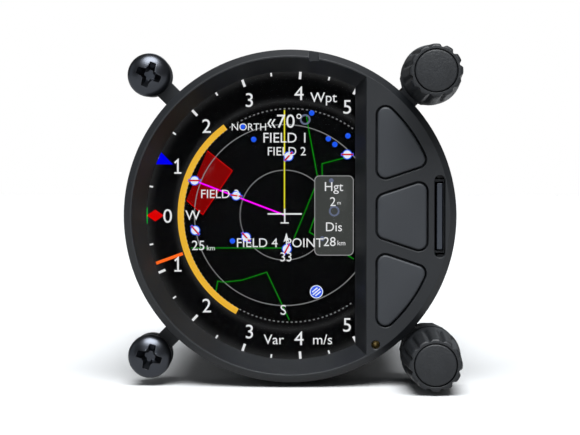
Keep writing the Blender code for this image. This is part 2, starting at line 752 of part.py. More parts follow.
def switch(which):
    """A push switch on the display board, with a well in which its plunger moves."""
    site = SWITCH_SITES[which]
    back = BOARD_FRONT - FIT
    front = back - SWITCH_HEIGHT
    square = rectangle(site, SWITCH_SIZE, SWITCH_SIZE)
    body = place(f"{which}_switch", prism_mesh([square], front, back), "moulded_black")
    well = circle(site, SWITCH_PLUNGER_RADIUS + FIT, SMALL_STEPS)
    boolean(body, prism_mesh([well], front - OVERRUN, front + SWITCH_WELL_DEPTH))
    sunk = SWITCH_WELL_DEPTH - BUTTON_TRAVEL - FIT
    profile = rod_profile(SWITCH_PLUNGER_RADIUS, front - SWITCH_PLUNGER_PROUD, front + sunk, 0.15 * MM)
    turned(f"{which}_switch_plunger", profile, "zinc", SMALL_STEPS, (site[0], 0.0, site[1]))


# ---------------------------------------------------------------- the memory card

def socket_box():
    """The outer box of the card socket."""
    half_thickness = CARD_THICKNESS / 2 + FIT + SOCKET_WALL
    half_width = CARD_WIDTH / 2 + FIT + SOCKET_WALL
    back = CARD_FRONT + CARD_LENGTH + CARD_PUSH + FIT + SOCKET_END_WALL
    low = Vector((SLOT_X - half_thickness, PLATE_BACK + 2 * FIT, -half_width))
    high = Vector((SLOT_X + half_thickness, back, half_width))
    return low, high


def memory_card():
    """The card and the socket that holds it edge-on behind its slot."""
    low, high = socket_box()
    socket = place("card_socket", box_mesh(low, high), "steel_bright")
    wall = Vector((SOCKET_WALL, 0.0, SOCKET_WALL))
    cavity_low = Vector((low.x, low.y - OVERRUN, low.z)) + wall
    cavity_high = Vector((high.x, high.y - SOCKET_END_WALL, high.z)) - wall
    boolean(socket, box_mesh(cavity_low, cavity_high))
    outline = rectangle((SLOT_X, 0.0), CARD_THICKNESS, CARD_WIDTH)
    card = place("memory_card", prism_mesh([outline], CARD_FRONT, CARD_FRONT + CARD_LENGTH), "card_black")
    soften(card, 0.12 * MM, 1)


# ---------------------------------------------------------------- housing and rear cover

def housing_tube():
    """The round sleeve over everything behind the panel."""
    profile = ring_profile(TUBE_INNER_RADIUS, TUBE_OUTER_RADIUS, TUBE_FRONT, TUBE_BACK)
    tube = turned("housing_tube", profile, "housing_black", RING_STEPS)
    inside = TUBE_INNER_RADIUS - OVERRUN
    outside = TUBE_OUTER_RADIUS + OVERRUN
    for along in tube_screw_places():
        boolean(tube, radial_rods(TUBE_SCREW_RADIUS + FIT, inside, outside, along, TUBE_SCREW_ANGLES))
    for height in (1, -1):
        slot = flex_box(inside, outside, FIT)
        boolean(tube, slot, rotation=(0.0, -math.atan2(height, 1), 0.0))


def tube_screw_places():
    """Where along the axis the two rings of tube screws sit."""
    return SPIGOT_BACK - TUBE_SCREW_SETBACK, TUBE_BACK - TUBE_SCREW_SETBACK * 2


def tube_screws():
    """Flush screws that hold the tube on the front frame and the rear cover in the tube."""
    outer = TUBE_OUTER_RADIUS - 0.05 * MM
    inner = outer - TUBE_SCREW_LENGTH
    for along, end in zip(tube_screw_places(), ("front", "rear")):
        for number, degrees in enumerate(TUBE_SCREW_ANGLES, 1):
            rod = rod_profile(TUBE_SCREW_RADIUS, -outer, -inner, 0.12 * MM)
            screw = turned(f"tube_screw_{end}_{number}", rod, "screw_black", SMALL_STEPS)
            hexagon = circle((0.0, 0.0), TUBE_SCREW_RADIUS * 0.6, 6)
            around = Matrix.Rotation(-math.radians(degrees), 4, "Y")
            turn = around @ Matrix.Rotation(math.radians(90.0), 4, "Z")
            screw.location = (0.0, along, 0.0)
            screw.rotation_euler = turn.to_euler()
            tool = prism_mesh([hexagon], -outer - OVERRUN, -outer + 1.0 * MM)
            boolean(screw, tool, location=screw.location, rotation=screw.rotation_euler)


def rear_cover():
    """The round cover at the back, with openings for the ports and connectors."""
    spigot_front = COVER_FRONT - COVER_SPIGOT_LENGTH
    profile = [
        (0.0, COVER_FRONT),
        (SPIGOT_RADIUS - TUBE_WALL - FIT, COVER_FRONT),
        (SPIGOT_RADIUS - TUBE_WALL - FIT, spigot_front),
        (SPIGOT_RADIUS, spigot_front),
        (SPIGOT_RADIUS, COVER_FRONT),
        (TUBE_OUTER_RADIUS, COVER_FRONT),
        (TUBE_OUTER_RADIUS, COVER_BACK - 0.4 * MM),
        (TUBE_OUTER_RADIUS - 0.4 * MM, COVER_BACK),
        (0.0, COVER_BACK),
    ]
    cover = turned("rear_cover", profile, "housing_black", RING_STEPS)
    port_hole = PORT_THREAD_RADIUS + FIT
    holes = [circle((x, PRESSURE_Z), port_hole, SMALL_STEPS) for x in pressure_sites().values()]
    holes.append(rectangle(jack_centre(), JACK_WIDTH + 2 * FIT, JACK_HEIGHT + 2 * FIT))
    holes.append(power_mouth(FIT))
    boolean(cover, prism_mesh(holes, COVER_FRONT - OVERRUN, COVER_BACK + OVERRUN))
    inside = SPIGOT_RADIUS - TUBE_WALL - FIT - OVERRUN
    along = tube_screw_places()[1]
    outside = SPIGOT_RADIUS + OVERRUN
    boolean(cover, radial_rods(TUBE_SCREW_RADIUS + FIT, inside, outside, along, TUBE_SCREW_ANGLES))


# ---------------------------------------------------------------- boards, sensors, ports, connectors

def main_board():
    """The long board in the housing, and the screening can over its processor."""
    back = COVER_FRONT - MAIN_BOARD_REAR_SETBACK
    low = (-MAIN_BOARD_WIDTH / 2, MAIN_BOARD_FRONT, MAIN_BOARD_TOP - BOARD_THICKNESS)
    high = (MAIN_BOARD_WIDTH / 2, back, MAIN_BOARD_TOP)
    place("main_board", box_mesh(low, high), "board_green")
    base = MAIN_BOARD_TOP + FIT
    start = MAIN_BOARD_FRONT + 3.0 * MM
    low = (-SHIELD_WIDTH / 2, start, base)
    high = (SHIELD_WIDTH / 2, start + SHIELD_LENGTH, base + SHIELD_HEIGHT)
    can = place("processor_shield", box_mesh(low, high), "zinc")
    soften(can, 0.5 * MM, 1)


def pressure_sites():
    """Where across the instrument each pressure line runs."""
    return {name: PRESSURE_FIRST_X + number * PRESSURE_PITCH for number, name in enumerate(PRESSURE_NAMES)}


def pressure_line(name, x):
    """A pressure sensor on the main board, and the port that leads to it through the rear cover."""
    base = MAIN_BOARD_TOP + FIT
    half = PRESSURE_SENSOR_SIZE / 2
    sensor_back = PRESSURE_SENSOR_FRONT + PRESSURE_SENSOR_SIZE
    low = (x - half, PRESSURE_SENSOR_FRONT, base)
    high = (x + half, sensor_back, base + PRESSURE_SENSOR_HEIGHT)
    sensor = place(f"{name}_sensor", box_mesh(low, high), "moulded_black")
    nipple = circle((x, PRESSURE_Z), NIPPLE_RADIUS, SMALL_STEPS)
    boolean(sensor, prism_mesh([nipple], sensor_back - OVERRUN, sensor_back + NIPPLE_LENGTH), "UNION")
    start = sensor_back + NIPPLE_LENGTH + FIT
    flange_front = COVER_BACK + FIT
    flange_back = flange_front + PORT_FLANGE_THICKNESS
    profile = [
        (PORT_BORE_RADIUS, start),
        (NIPPLE_RADIUS + FIT, start),
        (NIPPLE_RADIUS + FIT, COVER_FRONT - 2.0 * MM),
        (PORT_THREAD_RADIUS, COVER_FRONT - 2.0 * MM),
        (PORT_THREAD_RADIUS, flange_front),
        (PORT_FLANGE_RADIUS, flange_front),
        (PORT_FLANGE_RADIUS, flange_back),
    ]
    barb = PORT_REACH / PORT_BARBS
    for number in range(PORT_BARBS):
        profile.append((PORT_THREAD_RADIUS * 0.84, flange_back + number * barb))
        profile.append((PORT_THREAD_RADIUS, flange_back + number * barb + barb * 0.35))
    profile.append((PORT_THREAD_RADIUS * 0.7, flange_back + PORT_REACH))
    profile.append((PORT_BORE_RADIUS, flange_back + PORT_REACH))
    turned(f"{name}_port", profile, "brass", SMALL_STEPS, (x, 0.0, PRESSURE_Z))


def jack_centre():
    """The middle of the network jack's face."""
    return JACK_LEFT + JACK_WIDTH / 2, MAIN_BOARD_TOP + FIT + JACK_HEIGHT / 2


def network_jack():
    """The network jack that stands on the main board and shows through the rear cover."""
    back = COVER_BACK + JACK_PROUD
    outline = rectangle(jack_centre(), JACK_WIDTH, JACK_HEIGHT)
    jack = place("network_jack", prism_mesh([outline], back - JACK_LENGTH, back), "steel_bright")
    mouth = rectangle(jack_centre(), JACK_MOUTH_WIDTH, JACK_MOUTH_HEIGHT)
    boolean(jack, prism_mesh([mouth], back - JACK_MOUTH_DEPTH, back + OVERRUN))


def power_centre():
    """The middle of the power connector's face."""
    return 0.0, MAIN_BOARD_TOP - BOARD_THICKNESS - FIT - POWER_HEIGHT / 2


def power_mouth(offset):
    """The slanted, D-shaped outline of the power connector's mouth, moved outwards by offset."""
    x, z = power_centre()
    half_height = POWER_MOUTH_HEIGHT / 2 + offset
    lean = half_height * math.tan(POWER_MOUTH_SLANT)
    half_width = POWER_MOUTH_WIDTH / 2 + offset
    return [
        (x - half_width + lean, z - half_height),
        (x + half_width - lean, z - half_height),
        (x + half_width + lean, z + half_height),
        (x - half_width - lean, z + half_height),
    ]


def power_connector():
    """The nine-way connector for power and data, hung under the main board."""
    back = COVER_FRONT - FIT
    outline = rectangle(power_centre(), POWER_WIDTH, POWER_HEIGHT)
    connector = place("power_connector", prism_mesh([outline], back - POWER_LENGTH, back), "steel_bright")
    mouth_back = COVER_BACK + POWER_MOUTH_PROUD
    boolean(connector, prism_mesh([power_mouth(0.0)], back - OVERRUN, mouth_back), "UNION")
    x, z = power_centre()
    pins = []
    for row, count in ((1, 5), (-1, 4)):
        for number in range(count):
            across = (number - (count - 1) / 2) * POWER_PIN_PITCH
            pins.append(circle((x + across, z + row * POWER_PIN_PITCH / 2), POWER_PIN_RADIUS, 8))
    boolean(connector, prism_mesh(pins, mouth_back - POWER_PIN_DEPTH, mouth_back + OVERRUN))


# ---------------------------------------------------------------- panel screws

def cross_outline(reach, width):
    """A four-armed cross with cut corners between its arms."""
    half = width / 2
    waist = half * 1.9
    points = []
    for quarter in range(4):
        angle = quarter * math.pi / 2
        cosine, sine = math.cos(angle), math.sin(angle)
        for x, z in ((reach, -half), (reach, half), (waist, half * 1.25), (half * 1.25, waist)):
            points.append((x * cosine - z * sine, x * sine + z * cosine))
    return points


def mounting_screw(which, height):
    """A pan-head screw with a cross recess, which holds the left of the instrument to the panel."""
    top = PANEL_FRONT - SCREW_HEAD_HEIGHT
    profile = [(0.0, top)]
    crown = SCREW_HEAD_HEIGHT - SCREW_HEAD_LAND
    for step in range(1, 9):
        angle = math.radians(90.0 * step / 8)
        profile.append((SCREW_HEAD_RADIUS * math.sin(angle), top + crown * (1 - math.cos(angle))))
    profile += [
        (SCREW_HEAD_RADIUS, PANEL_FRONT),
        (SCREW_RADIUS, PANEL_FRONT),
        (SCREW_RADIUS, PANEL_FRONT + SCREW_LENGTH - 0.5 * MM),
        (SCREW_RADIUS - 0.5 * MM, PANEL_FRONT + SCREW_LENGTH),
        (0.0, PANEL_FRONT + SCREW_LENGTH),
    ]
    site = (-HALF_PITCH, 0.0, height * HALF_PITCH)
    screw = turned(f"{which}_mounting_screw", profile, "screw_black", KNOB_STEPS, site)
    mouth = cross_outline(CROSS_REACH, CROSS_WIDTH)
    floor = cross_outline(CROSS_REACH * 0.45, CROSS_WIDTH * 0.6)
    tool = loft_mesh([(top - 0.1 * MM, mouth), (top + CROSS_DEPTH, floor)])
    boolean(screw, tool, location=site, rotation=(0.0, -SCREW_TURN[which], 0.0))


# ---------------------------------------------------------------- encoders and knobs

def flex_box(inner, outer, room=0.0):
    """A flat lead that points at the axis behind the encoder, grown by room on its edges."""
    start = ENCODER_BACK + FIT
    low = (inner, start - room, -FLEX_WIDTH / 2 - room)
    high = (outer, start + FLEX_THICKNESS + room, FLEX_WIDTH / 2 + room)
    return box_mesh(low, high)


def encoder(which, height):
    """A rotary encoder with a push switch, clamped to its ear by its own bushing and nut."""
    site = (HALF_PITCH, 0.0, height * HALF_PITCH)
    flange_front = FLANGE_THICKNESS + FIT
    bushing = [
        (SHAFT_BORE_RADIUS, PANEL_FRONT - BUSHING_PROUD),
        (BUSHING_RADIUS, PANEL_FRONT - BUSHING_PROUD),
        (BUSHING_RADIUS, flange_front),
        (BUSHING_FLANGE_RADIUS, flange_front),
        (BUSHING_FLANGE_RADIUS, flange_front + BUSHING_FLANGE_THICKNESS),
        (SHAFT_BORE_RADIUS, flange_front + BUSHING_FLANGE_THICKNESS),
    ]
    turned(f"{which}_encoder_bushing", bushing, "brass", SMALL_STEPS, site)
    nut_back = PANEL_FRONT - FIT
    hexagon = circle((0.0, 0.0), PANEL_NUT_RADIUS, 6)
    nut_mesh = prism_mesh([hexagon], nut_back - PANEL_NUT_HEIGHT, nut_back)
    nut = place(f"{which}_panel_nut", nut_mesh, "zinc", site)
    thread = circle((0.0, 0.0), BUSHING_RADIUS + FIT, SMALL_STEPS)
    thread_hole = prism_mesh([thread], nut_back - PANEL_NUT_HEIGHT - OVERRUN, nut_back + OVERRUN)
    boolean(nut, thread_hole, location=site)
    cavity_back = ENCODER_BACK - ENCODER_WALL
    body = [
        (0.0, cavity_back),
        (ENCODER_RADIUS - ENCODER_WALL, cavity_back),
        (ENCODER_RADIUS - ENCODER_WALL, ENCODER_FRONT),
        (ENCODER_RADIUS, ENCODER_FRONT),
        (ENCODER_RADIUS, ENCODER_BACK),
        (0.0, ENCODER_BACK),
    ]
    turned(f"{which}_encoder_body", body, "zinc", SMALL_STEPS, site)
    plunger_back = cavity_back - FIT - PUSH_TRAVEL
    plunger_front = plunger_back - PLUNGER_THICKNESS
    plunger = rod_profile(ENCODER_RADIUS - ENCODER_WALL - FIT, plunger_front, plunger_back)
    turned(f"{which}_encoder_plunger", plunger, "moulded_black", SMALL_STEPS, site)
    rotor_back = plunger_front - FIT
    shaft = [
        (0.0, KNOB_FRONT + SHAFT_SETBACK),
        (SHAFT_RADIUS, KNOB_FRONT + SHAFT_SETBACK),
        (SHAFT_RADIUS, rotor_back - ROTOR_THICKNESS),
        (ROTOR_RADIUS, rotor_back - ROTOR_THICKNESS),
        (ROTOR_RADIUS, rotor_back),
        (0.0, rotor_back),
    ]
    turned(f"{which}_encoder_shaft", shaft, "steel_bright", SMALL_STEPS, site)
    flex = flex_box(BOARD_POCKET_RADIUS, EAR_REACH + 1.0 * MM)
    place(f"{which}_encoder_flex", flex, "flex_amber", rotation=(0.0, -math.atan2(height, 1), 0.0))


def fluted_section(radius, depth):
    """A round outline with evenly spaced scoops of the given depth."""
    points_per_flute = 5
    total = FLUTES * points_per_flute
    outline = []
    for step in range(total):
        angle = 2 * math.pi * step / total
        across = 2 * abs((step / points_per_flute + 0.5) % 1.0 - 0.5)
        scoop = max(0.0, 1.0 - (across / FLUTE_SHARE) ** 2)
        reach = radius - depth * scoop
        outline.append((reach * math.cos(angle), reach * math.sin(angle)))
    return outline


def knob_grip(which, site):
    """The fluted body of a knob, on its plain skirt, bored from both ends."""
    skirt_front = KNOB_BACK - KNOB_SKIRT
    flute_full = skirt_front - FLUTE_RUN_IN
    taper = (KNOB_BASE_RADIUS - KNOB_FRONT_RADIUS) / (skirt_front - KNOB_FRONT)

    def radius_at(y):
        return KNOB_BASE_RADIUS - taper * max(0.0, skirt_front - y)

    front_edge = KNOB_FRONT + KNOB_EDGE
    run_in = skirt_front - FLUTE_RUN_IN / 2
    sections = [
        (KNOB_BACK, fluted_section(KNOB_BASE_RADIUS, 0.0)),
        (skirt_front, fluted_section(KNOB_BASE_RADIUS, 0.0)),
        (run_in, fluted_section(radius_at(run_in), FLUTE_DEPTH * 0.6)),
        (flute_full, fluted_section(radius_at(flute_full), FLUTE_DEPTH)),
        (front_edge, fluted_section(radius_at(front_edge), FLUTE_DEPTH)),
        (KNOB_FRONT, fluted_section(KNOB_FRONT_RADIUS - KNOB_EDGE, FLUTE_DEPTH * 0.9)),
    ]
    grip = place(f"{which}_knob_grip", loft_mesh(sections), "knob_black", site)
    nut_outer = SHAFT_BORE_RADIUS + COLLET_WALL + FIT + COLLET_NUT_WALL
    skirt_floor = PANEL_FRONT - BUSHING_PROUD - PUSH_TRAVEL - FIT
    cap_floor = KNOB_FRONT + CAP_THICKNESS + FIT
    nut_floor = cap_floor + CAP_PLUG_LENGTH + FIT + COLLET_NUT_HEIGHT + FIT
    bore = [
        (0.0, KNOB_FRONT - OVERRUN),
        (CAP_RADIUS + CAP_GROOVE, KNOB_FRONT - OVERRUN),
        (CAP_RADIUS + CAP_GROOVE, cap_floor),
        (nut_outer + FIT, cap_floor),
        (nut_outer + FIT, nut_floor),
        (SHAFT_BORE_RADIUS + COLLET_WALL + FIT, nut_floor),
        (SHAFT_BORE_RADIUS + COLLET_WALL + FIT, skirt_floor),
        (PANEL_NUT_RADIUS + FIT, skirt_floor),
        (PANEL_NUT_RADIUS + FIT, KNOB_BACK + OVERRUN),
        (0.0, KNOB_BACK + OVERRUN),
    ]
    boolean(grip, turned_mesh(bore, KNOB_STEPS), location=site)
    return skirt_floor, cap_floor, nut_floor


def knob(which, height):
    """A knob: grip, collet, collet nut and cap, all on the encoder's shaft."""
    site = (HALF_PITCH, 0.0, height * HALF_PITCH)
    skirt_floor, cap_floor, nut_floor = knob_grip(which, site)
    collet_radius = SHAFT_BORE_RADIUS + COLLET_WALL
    collet_front = nut_floor - FIT - COLLET_NUT_HEIGHT
    collet = ring_profile(SHAFT_BORE_RADIUS, collet_radius, collet_front, skirt_floor - FIT)
    turned(f"{which}_knob_collet", collet, "brass", SMALL_STEPS, site)
    nut_inner = collet_radius + FIT
    nut_front = nut_floor - FIT - COLLET_NUT_HEIGHT
    nut = ring_profile(nut_inner, nut_inner + COLLET_NUT_WALL, nut_front, nut_floor - FIT)
    turned(f"{which}_knob_nut", nut, "brass", SMALL_STEPS, site)
    cap = [
        (0.0, KNOB_FRONT - CAP_CROWN),
        (CAP_RADIUS * 0.72, KNOB_FRONT - CAP_CROWN * 0.5),
        (CAP_RADIUS - 0.25 * MM, KNOB_FRONT),
        (CAP_RADIUS, KNOB_FRONT + 0.2 * MM),
        (CAP_RADIUS, KNOB_FRONT + CAP_THICKNESS),
        (CAP_PLUG_RADIUS, KNOB_FRONT + CAP_THICKNESS),
        (CAP_PLUG_RADIUS, KNOB_FRONT + CAP_THICKNESS + CAP_PLUG_LENGTH),
        (0.0, KNOB_FRONT + CAP_THICKNESS + CAP_PLUG_LENGTH),
    ]
    turned(f"{which}_knob_cap", cap, "knob_black", KNOB_STEPS, site)


# ---------------------------------------------------------------- the whole instrument

def clear_scene():
    """Start from an empty scene."""
    for item in list(bpy.data.objects):
        bpy.data.objects.remove(item, do_unlink=True)


def build():
    """Make every piece of the instrument."""
    clear_scene()
    front_frame()
    display_stack()
    display_board()
    light_sensor()
    for which in SWITCH_SITES:
        button(which)
        switch(which)
    memory_card()
    housing_tube()
    tube_screws()
    rear_cover()
    main_board()
    for name, x in pressure_sites().items():
        pressure_line(name, x)
    network_jack()
    power_connector()
    for which, height in (("upper", 1), ("lower", -1)):
        mounting_screw(which, height)
        encoder(which, height)
        knob(which, height)


build()
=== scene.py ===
# %% [markdown]
# # A round flight instrument for a 57 mm panel hole
# This notebook dresses a finished mechanical model. The model already has every part in its
# place, so a new piece is drawn straight into the model's own coordinates. The instrument's axis
# runs along Y, its face looks towards -Y, X goes right and Z goes up.

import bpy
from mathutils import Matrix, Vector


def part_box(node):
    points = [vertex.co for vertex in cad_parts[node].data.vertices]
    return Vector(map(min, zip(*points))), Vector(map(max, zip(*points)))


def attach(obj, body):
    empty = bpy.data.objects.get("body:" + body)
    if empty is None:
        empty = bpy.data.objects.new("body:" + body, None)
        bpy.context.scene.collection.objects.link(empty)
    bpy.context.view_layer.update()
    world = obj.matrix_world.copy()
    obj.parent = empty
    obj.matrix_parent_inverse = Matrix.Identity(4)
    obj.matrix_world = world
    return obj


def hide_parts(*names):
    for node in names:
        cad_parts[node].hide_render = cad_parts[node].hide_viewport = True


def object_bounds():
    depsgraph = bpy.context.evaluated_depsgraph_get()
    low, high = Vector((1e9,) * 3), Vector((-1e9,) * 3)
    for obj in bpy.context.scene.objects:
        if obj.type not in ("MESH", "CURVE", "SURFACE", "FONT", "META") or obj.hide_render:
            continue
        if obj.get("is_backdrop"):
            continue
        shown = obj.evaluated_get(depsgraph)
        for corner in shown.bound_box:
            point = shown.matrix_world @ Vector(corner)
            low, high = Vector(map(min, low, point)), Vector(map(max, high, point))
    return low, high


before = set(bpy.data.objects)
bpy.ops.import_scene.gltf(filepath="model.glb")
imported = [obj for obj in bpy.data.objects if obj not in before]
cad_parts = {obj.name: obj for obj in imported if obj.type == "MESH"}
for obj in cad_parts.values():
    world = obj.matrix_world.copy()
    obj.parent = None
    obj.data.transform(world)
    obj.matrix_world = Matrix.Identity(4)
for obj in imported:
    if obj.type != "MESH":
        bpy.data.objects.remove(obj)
cad_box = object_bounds()

# %% Modules and units
import math

import bmesh
import bpy
from mathutils import Matrix, Vector

MM = 0.001
SEGMENTS = 192
KNOB_SEGMENTS = 168
SMALL_SEGMENTS = 56


def box_mm(node):
    """Lowest and highest corner of one of the model's nodes, in millimetres."""
    low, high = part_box(node)
    return low / MM, high / MM


size = (cad_box[1] - cad_box[0]) / MM
print(f"model box: {size.x:.1f} x {size.y:.1f} x {size.z:.1f} mm")

# %% [markdown]
# ## Places that come from the model
# Each new piece needs to know where its neighbours are. Reading the model's boxes is safer than
# copying numbers: if the model is ever packed again with a longer housing, these follow it.

# %% Read the main planes and centres
knob_low, knob_high = box_mm("upper_knob_grip")
PITCH = (knob_low.x + knob_high.x) / 2
frame_low, frame_high = box_mm("front_frame")
tube_low, tube_high = box_mm("housing_tube")
cover_low, cover_high = box_mm("rear_cover")
panel_low, panel_high = box_mm("display_panel")
card_low, card_high = box_mm("memory_card")

FACE = frame_low.y
PANEL_BACK = 0.0
FLANGE_BACK = tube_low.y - 0.3
SPIGOT_BACK = frame_high.y
TUBE_RADIUS = tube_high.x
print(f"face at {FACE:.2f} mm, housing ends at {cover_high.y:.1f} mm, holes {2 * PITCH:.2f} mm apart")

# %% [markdown]
# ## Four ways to make a solid
# Everything on this instrument is turned on a lathe, cut from plate or pressed in a mould. Four
# helpers cover that: a turned profile, a plate cut to an outline, a loft through a stack of
# outlines, and a cutter that takes one solid out of another. They all work in millimetres.

# %% Plane outlines
def arc(centre, radius, start, end, steps):
    """Points along an arc, both ends included; z is the second coordinate."""
    points = []
    for step in range(steps + 1):
        angle = start + (end - start) * step / steps
        points.append((centre[0] + radius * math.cos(angle), centre[1] + radius * math.sin(angle)))
    return points


def circle(centre, radius, steps=SMALL_SEGMENTS):
    """A closed circle of points."""
    return arc(centre, radius, 0.0, 2 * math.pi, steps)[:-1]


def slot_outline(centre, width, length, steps=16):
    """An upright slot with round ends."""
    reach = (length - width) / 2
    top = arc((centre[0], centre[1] + reach), width / 2, 0.0, math.pi, steps)
    bottom = arc((centre[0], centre[1] - reach), width / 2, math.pi, 2 * math.pi, steps)
    return top + bottom


def rectangle(centre, width, height, corner=0.0, steps=5):
    """A closed rectangle, with rounded corners if corner is above zero."""
    x, z = centre
    if corner <= 0.0:
        half = ((-1, -1), (1, -1), (1, 1), (-1, 1))
        return [(x + a * width / 2, z + b * height / 2) for a, b in half]
    points = []
    for quarter, (a, b) in enumerate(((1, 1), (-1, 1), (-1, -1), (1, -1))):
        middle = (x + a * (width / 2 - corner), z + b * (height / 2 - corner))
        start = quarter * math.pi / 2
        points += arc(middle, corner, start, start + math.pi / 2, steps)
    return points


print("outlines: arc, circle, slot, rectangle")

# %% Turned, flat and lofted solids
def lathe(profile, segments, at=(0.0, 0.0), closed=False):
    """A solid turned about an axis along Y through at, from (radius, y) points."""
    bm = bmesh.new()
    rings = []
    for radius, y in profile:
        count = segments if radius > 1e-6 else 1
        spokes = [2 * math.pi * k / segments for k in range(count)]
        rings.append(
            [bm.verts.new((at[0] + radius * math.cos(a), y, at[1] + radius * math.sin(a))) for a in spokes]
        )
    following = rings[1:] + rings[:1] if closed else rings[1:]
    for near, far in zip(rings, following):
        for k in range(segments):
            after = (k + 1) % segments
            corners = [near[k % len(near)], far[k % len(far)], far[after % len(far)], near[after % len(near)]]
            corners = list(dict.fromkeys(corners))
            if len(corners) > 2:
                bm.faces.new(corners)
    return bm


def loft(sections):
    """A solid through a stack of (y, outline) sections that all have the same number of points."""
    bm = bmesh.new()
    rings = [[bm.verts.new((x, y, z)) for x, z in outline] for y, outline in sections]
    for near, far in zip(rings, rings[1:]):
        for k in range(len(near)):
            after = (k + 1) % len(near)
            bm.faces.new((near[k], far[k], far[after], near[after]))
    bm.faces.new(rings[0])
    bm.faces.new(list(reversed(rings[-1])))
    return bm


def plates(outlines, front, back):
    """One or more flat plates between two planes across the axis."""
    bm = bmesh.new()
    for outline in outlines:
        near = [bm.verts.new((x, front, z)) for x, z in outline]
        far = [bm.verts.new((x, back, z)) for x, z in outline]
        for k in range(len(near)):
            after = (k + 1) % len(near)
            bm.faces.new((near[k], far[k], far[after], near[after]))
        bm.faces.new(near)
        bm.faces.new(list(reversed(far)))
    return bm


def block(low, high):
    """A box between two corners."""
    outline = [(low[0], low[2]), (high[0], low[2]), (high[0], high[2]), (low[0], high[2])]
    return plates([outline], low[1], high[1])


print("solids: lathe, loft, plates, block")

# %% From a drawn solid to a finished piece
def as_object(name, bm, sharp=34.0):
    """Scales a solid to metres and gives it smooth faces with crisp edges."""
    bmesh.ops.recalc_face_normals(bm, faces=bm.faces)
    bmesh.ops.scale(bm, vec=(MM, MM, MM), verts=bm.verts)
    mesh = bpy.data.meshes.new(name)
    bm.to_mesh(mesh)
    bm.free()
    mesh.shade_smooth()
    mesh.set_sharp_from_angle(angle=math.radians(sharp))
    made = bpy.data.objects.new(name, mesh)
    bpy.context.scene.collection.objects.link(made)
    return made


def bake_modifiers(piece):
    """Applies every modifier on a piece to its mesh."""
    bpy.context.view_layer.update()
    graph = bpy.context.evaluated_depsgraph_get()
    mesh = bpy.data.meshes.new_from_object(piece.evaluated_get(graph))
    piece.modifiers.clear()
    piece.data = mesh
    return piece


def cut(piece, bm, operation="DIFFERENCE"):
    """Takes a solid out of a piece, or joins it on."""
    tool = as_object("tool", bm)
    change = piece.modifiers.new("cut", "BOOLEAN")
    change.operation = operation
    change.solver = "EXACT"
    change.object = tool
    bake_modifiers(piece)
    bpy.data.objects.remove(tool)
    return piece


def even_out(piece, sharp=34.0):
    """Smooth shading in which large flat faces stay flat beside the small rounds at their edges."""
    piece.data.shade_smooth()
    piece.data.set_sharp_from_angle(angle=math.radians(sharp))
    even = piece.modifiers.new("even", "WEIGHTED_NORMAL")
    even.keep_sharp = True
    return bake_modifiers(piece)


def soften(piece, width, steps=2, angle=34.0):
    """Rounds every crisp edge of a piece by width."""
    edge = piece.modifiers.new("soften", "BEVEL")
    edge.width = width * MM
    edge.segments = steps
    edge.limit_method = "ANGLE"
    edge.angle_limit = math.radians(angle)
    edge.harden_normals = False
    bake_modifiers(piece)
    return even_out(piece, 60.0)


def settle(piece, body, material=None, replaces=()):
    """Gives a finished piece its material and its body, and hides the model's parts that it stands for."""
    if material is not None:
        piece.data.materials.clear()
        piece.data.materials.append(material)
    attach(piece, body)
    if replaces:
        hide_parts(*replaces)
    print(f"{piece.name}: {len(piece.data.polygons)} faces on {body}")
    return piece

# %% [markdown]
# ## Where the viewer stands
# A small instrument is best looked at through a long lens from about arm's length, so that its
# circle stays a circle. The viewer here stands 34 cm in front of the panel, a little above the
# axis and a little to its right, which shows slightly more of the lower wall of the recess than
# of the upper one. The camera looks straight at the middle of the instrument.

# %% Camera
VIEW_DISTANCE = 339.0
VIEW_RIGHT = 5.0
VIEW_ABOVE = 7.9
VIEW_WIDTH = 97.3
SENSOR = 36.0

camera_data = bpy.data.cameras.new("camera")
camera_data.sensor_width = SENSOR
camera_data.lens = SENSOR * (VIEW_DISTANCE + FACE + 4.0) / VIEW_WIDTH
camera_data.clip_start = 0.01
camera = bpy.data.objects.new("camera", camera_data)
bpy.context.scene.collection.objects.link(camera)
camera.location = Vector((VIEW_RIGHT, -VIEW_DISTANCE, VIEW_ABOVE)) * MM
aim = Vector((-0.03, -3.0, -0.28)) * MM
camera.rotation_euler = (aim - camera.location).to_track_quat("-Z", "Y").to_euler()
bpy.context.scene.camera = camera
print(f"lens {camera_data.lens:.1f} mm, {VIEW_DISTANCE / 10:.0f} cm away")

# %% [markdown]
# ## A pale table and soft light
# The instrument lies on its round housing, on a pale matt table that runs on past the edge of the
# view. One very wide, soft lamp stands high in front of the face. It is drawn as a sun with a
# broad disc, because a sun lights the far end of the table as brightly as the near end. Four weak
# square lamps stand left, right, low in front and behind, and dark metal reflects them. Seen
# indirectly the table is a darker grey, as if flags kept its glare off the instrument.

# %% Table
TABLE_REACH = 2.4
TABLE_SEEN = (0.86, 0.90)
TABLE_FLAGGED = 0.46

table_mesh = bpy.data.meshes.new("table")
edge = TABLE_REACH
table_low = cad_box[0].z
corners = [(x, y, table_low) for x, y in ((-edge, -edge), (edge, -edge), (edge, edge), (-edge, edge))]
table_mesh.from_pydata(corners, [], [(0, 1, 2, 3)])
table = bpy.data.objects.new("table", table_mesh)
bpy.context.scene.collection.objects.link(table)
table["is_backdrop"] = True

table_paint = bpy.data.materials.new("table_paint")
table_paint.use_nodes = True
nodes = table_paint.node_tree.nodes
links = table_paint.node_tree.links
shader = nodes["Principled BSDF"]
shader.inputs["Roughness"].default_value = 0.85
shader.inputs["Specular IOR Level"].default_value = 0.2
mottle = nodes.new("ShaderNodeTexNoise")
mottle.inputs["Scale"].default_value = 9.0
mottle.inputs["Detail"].default_value = 3.0
shade = nodes.new("ShaderNodeMapRange")
shade.inputs["To Min"].default_value, shade.inputs["To Max"].default_value = TABLE_SEEN
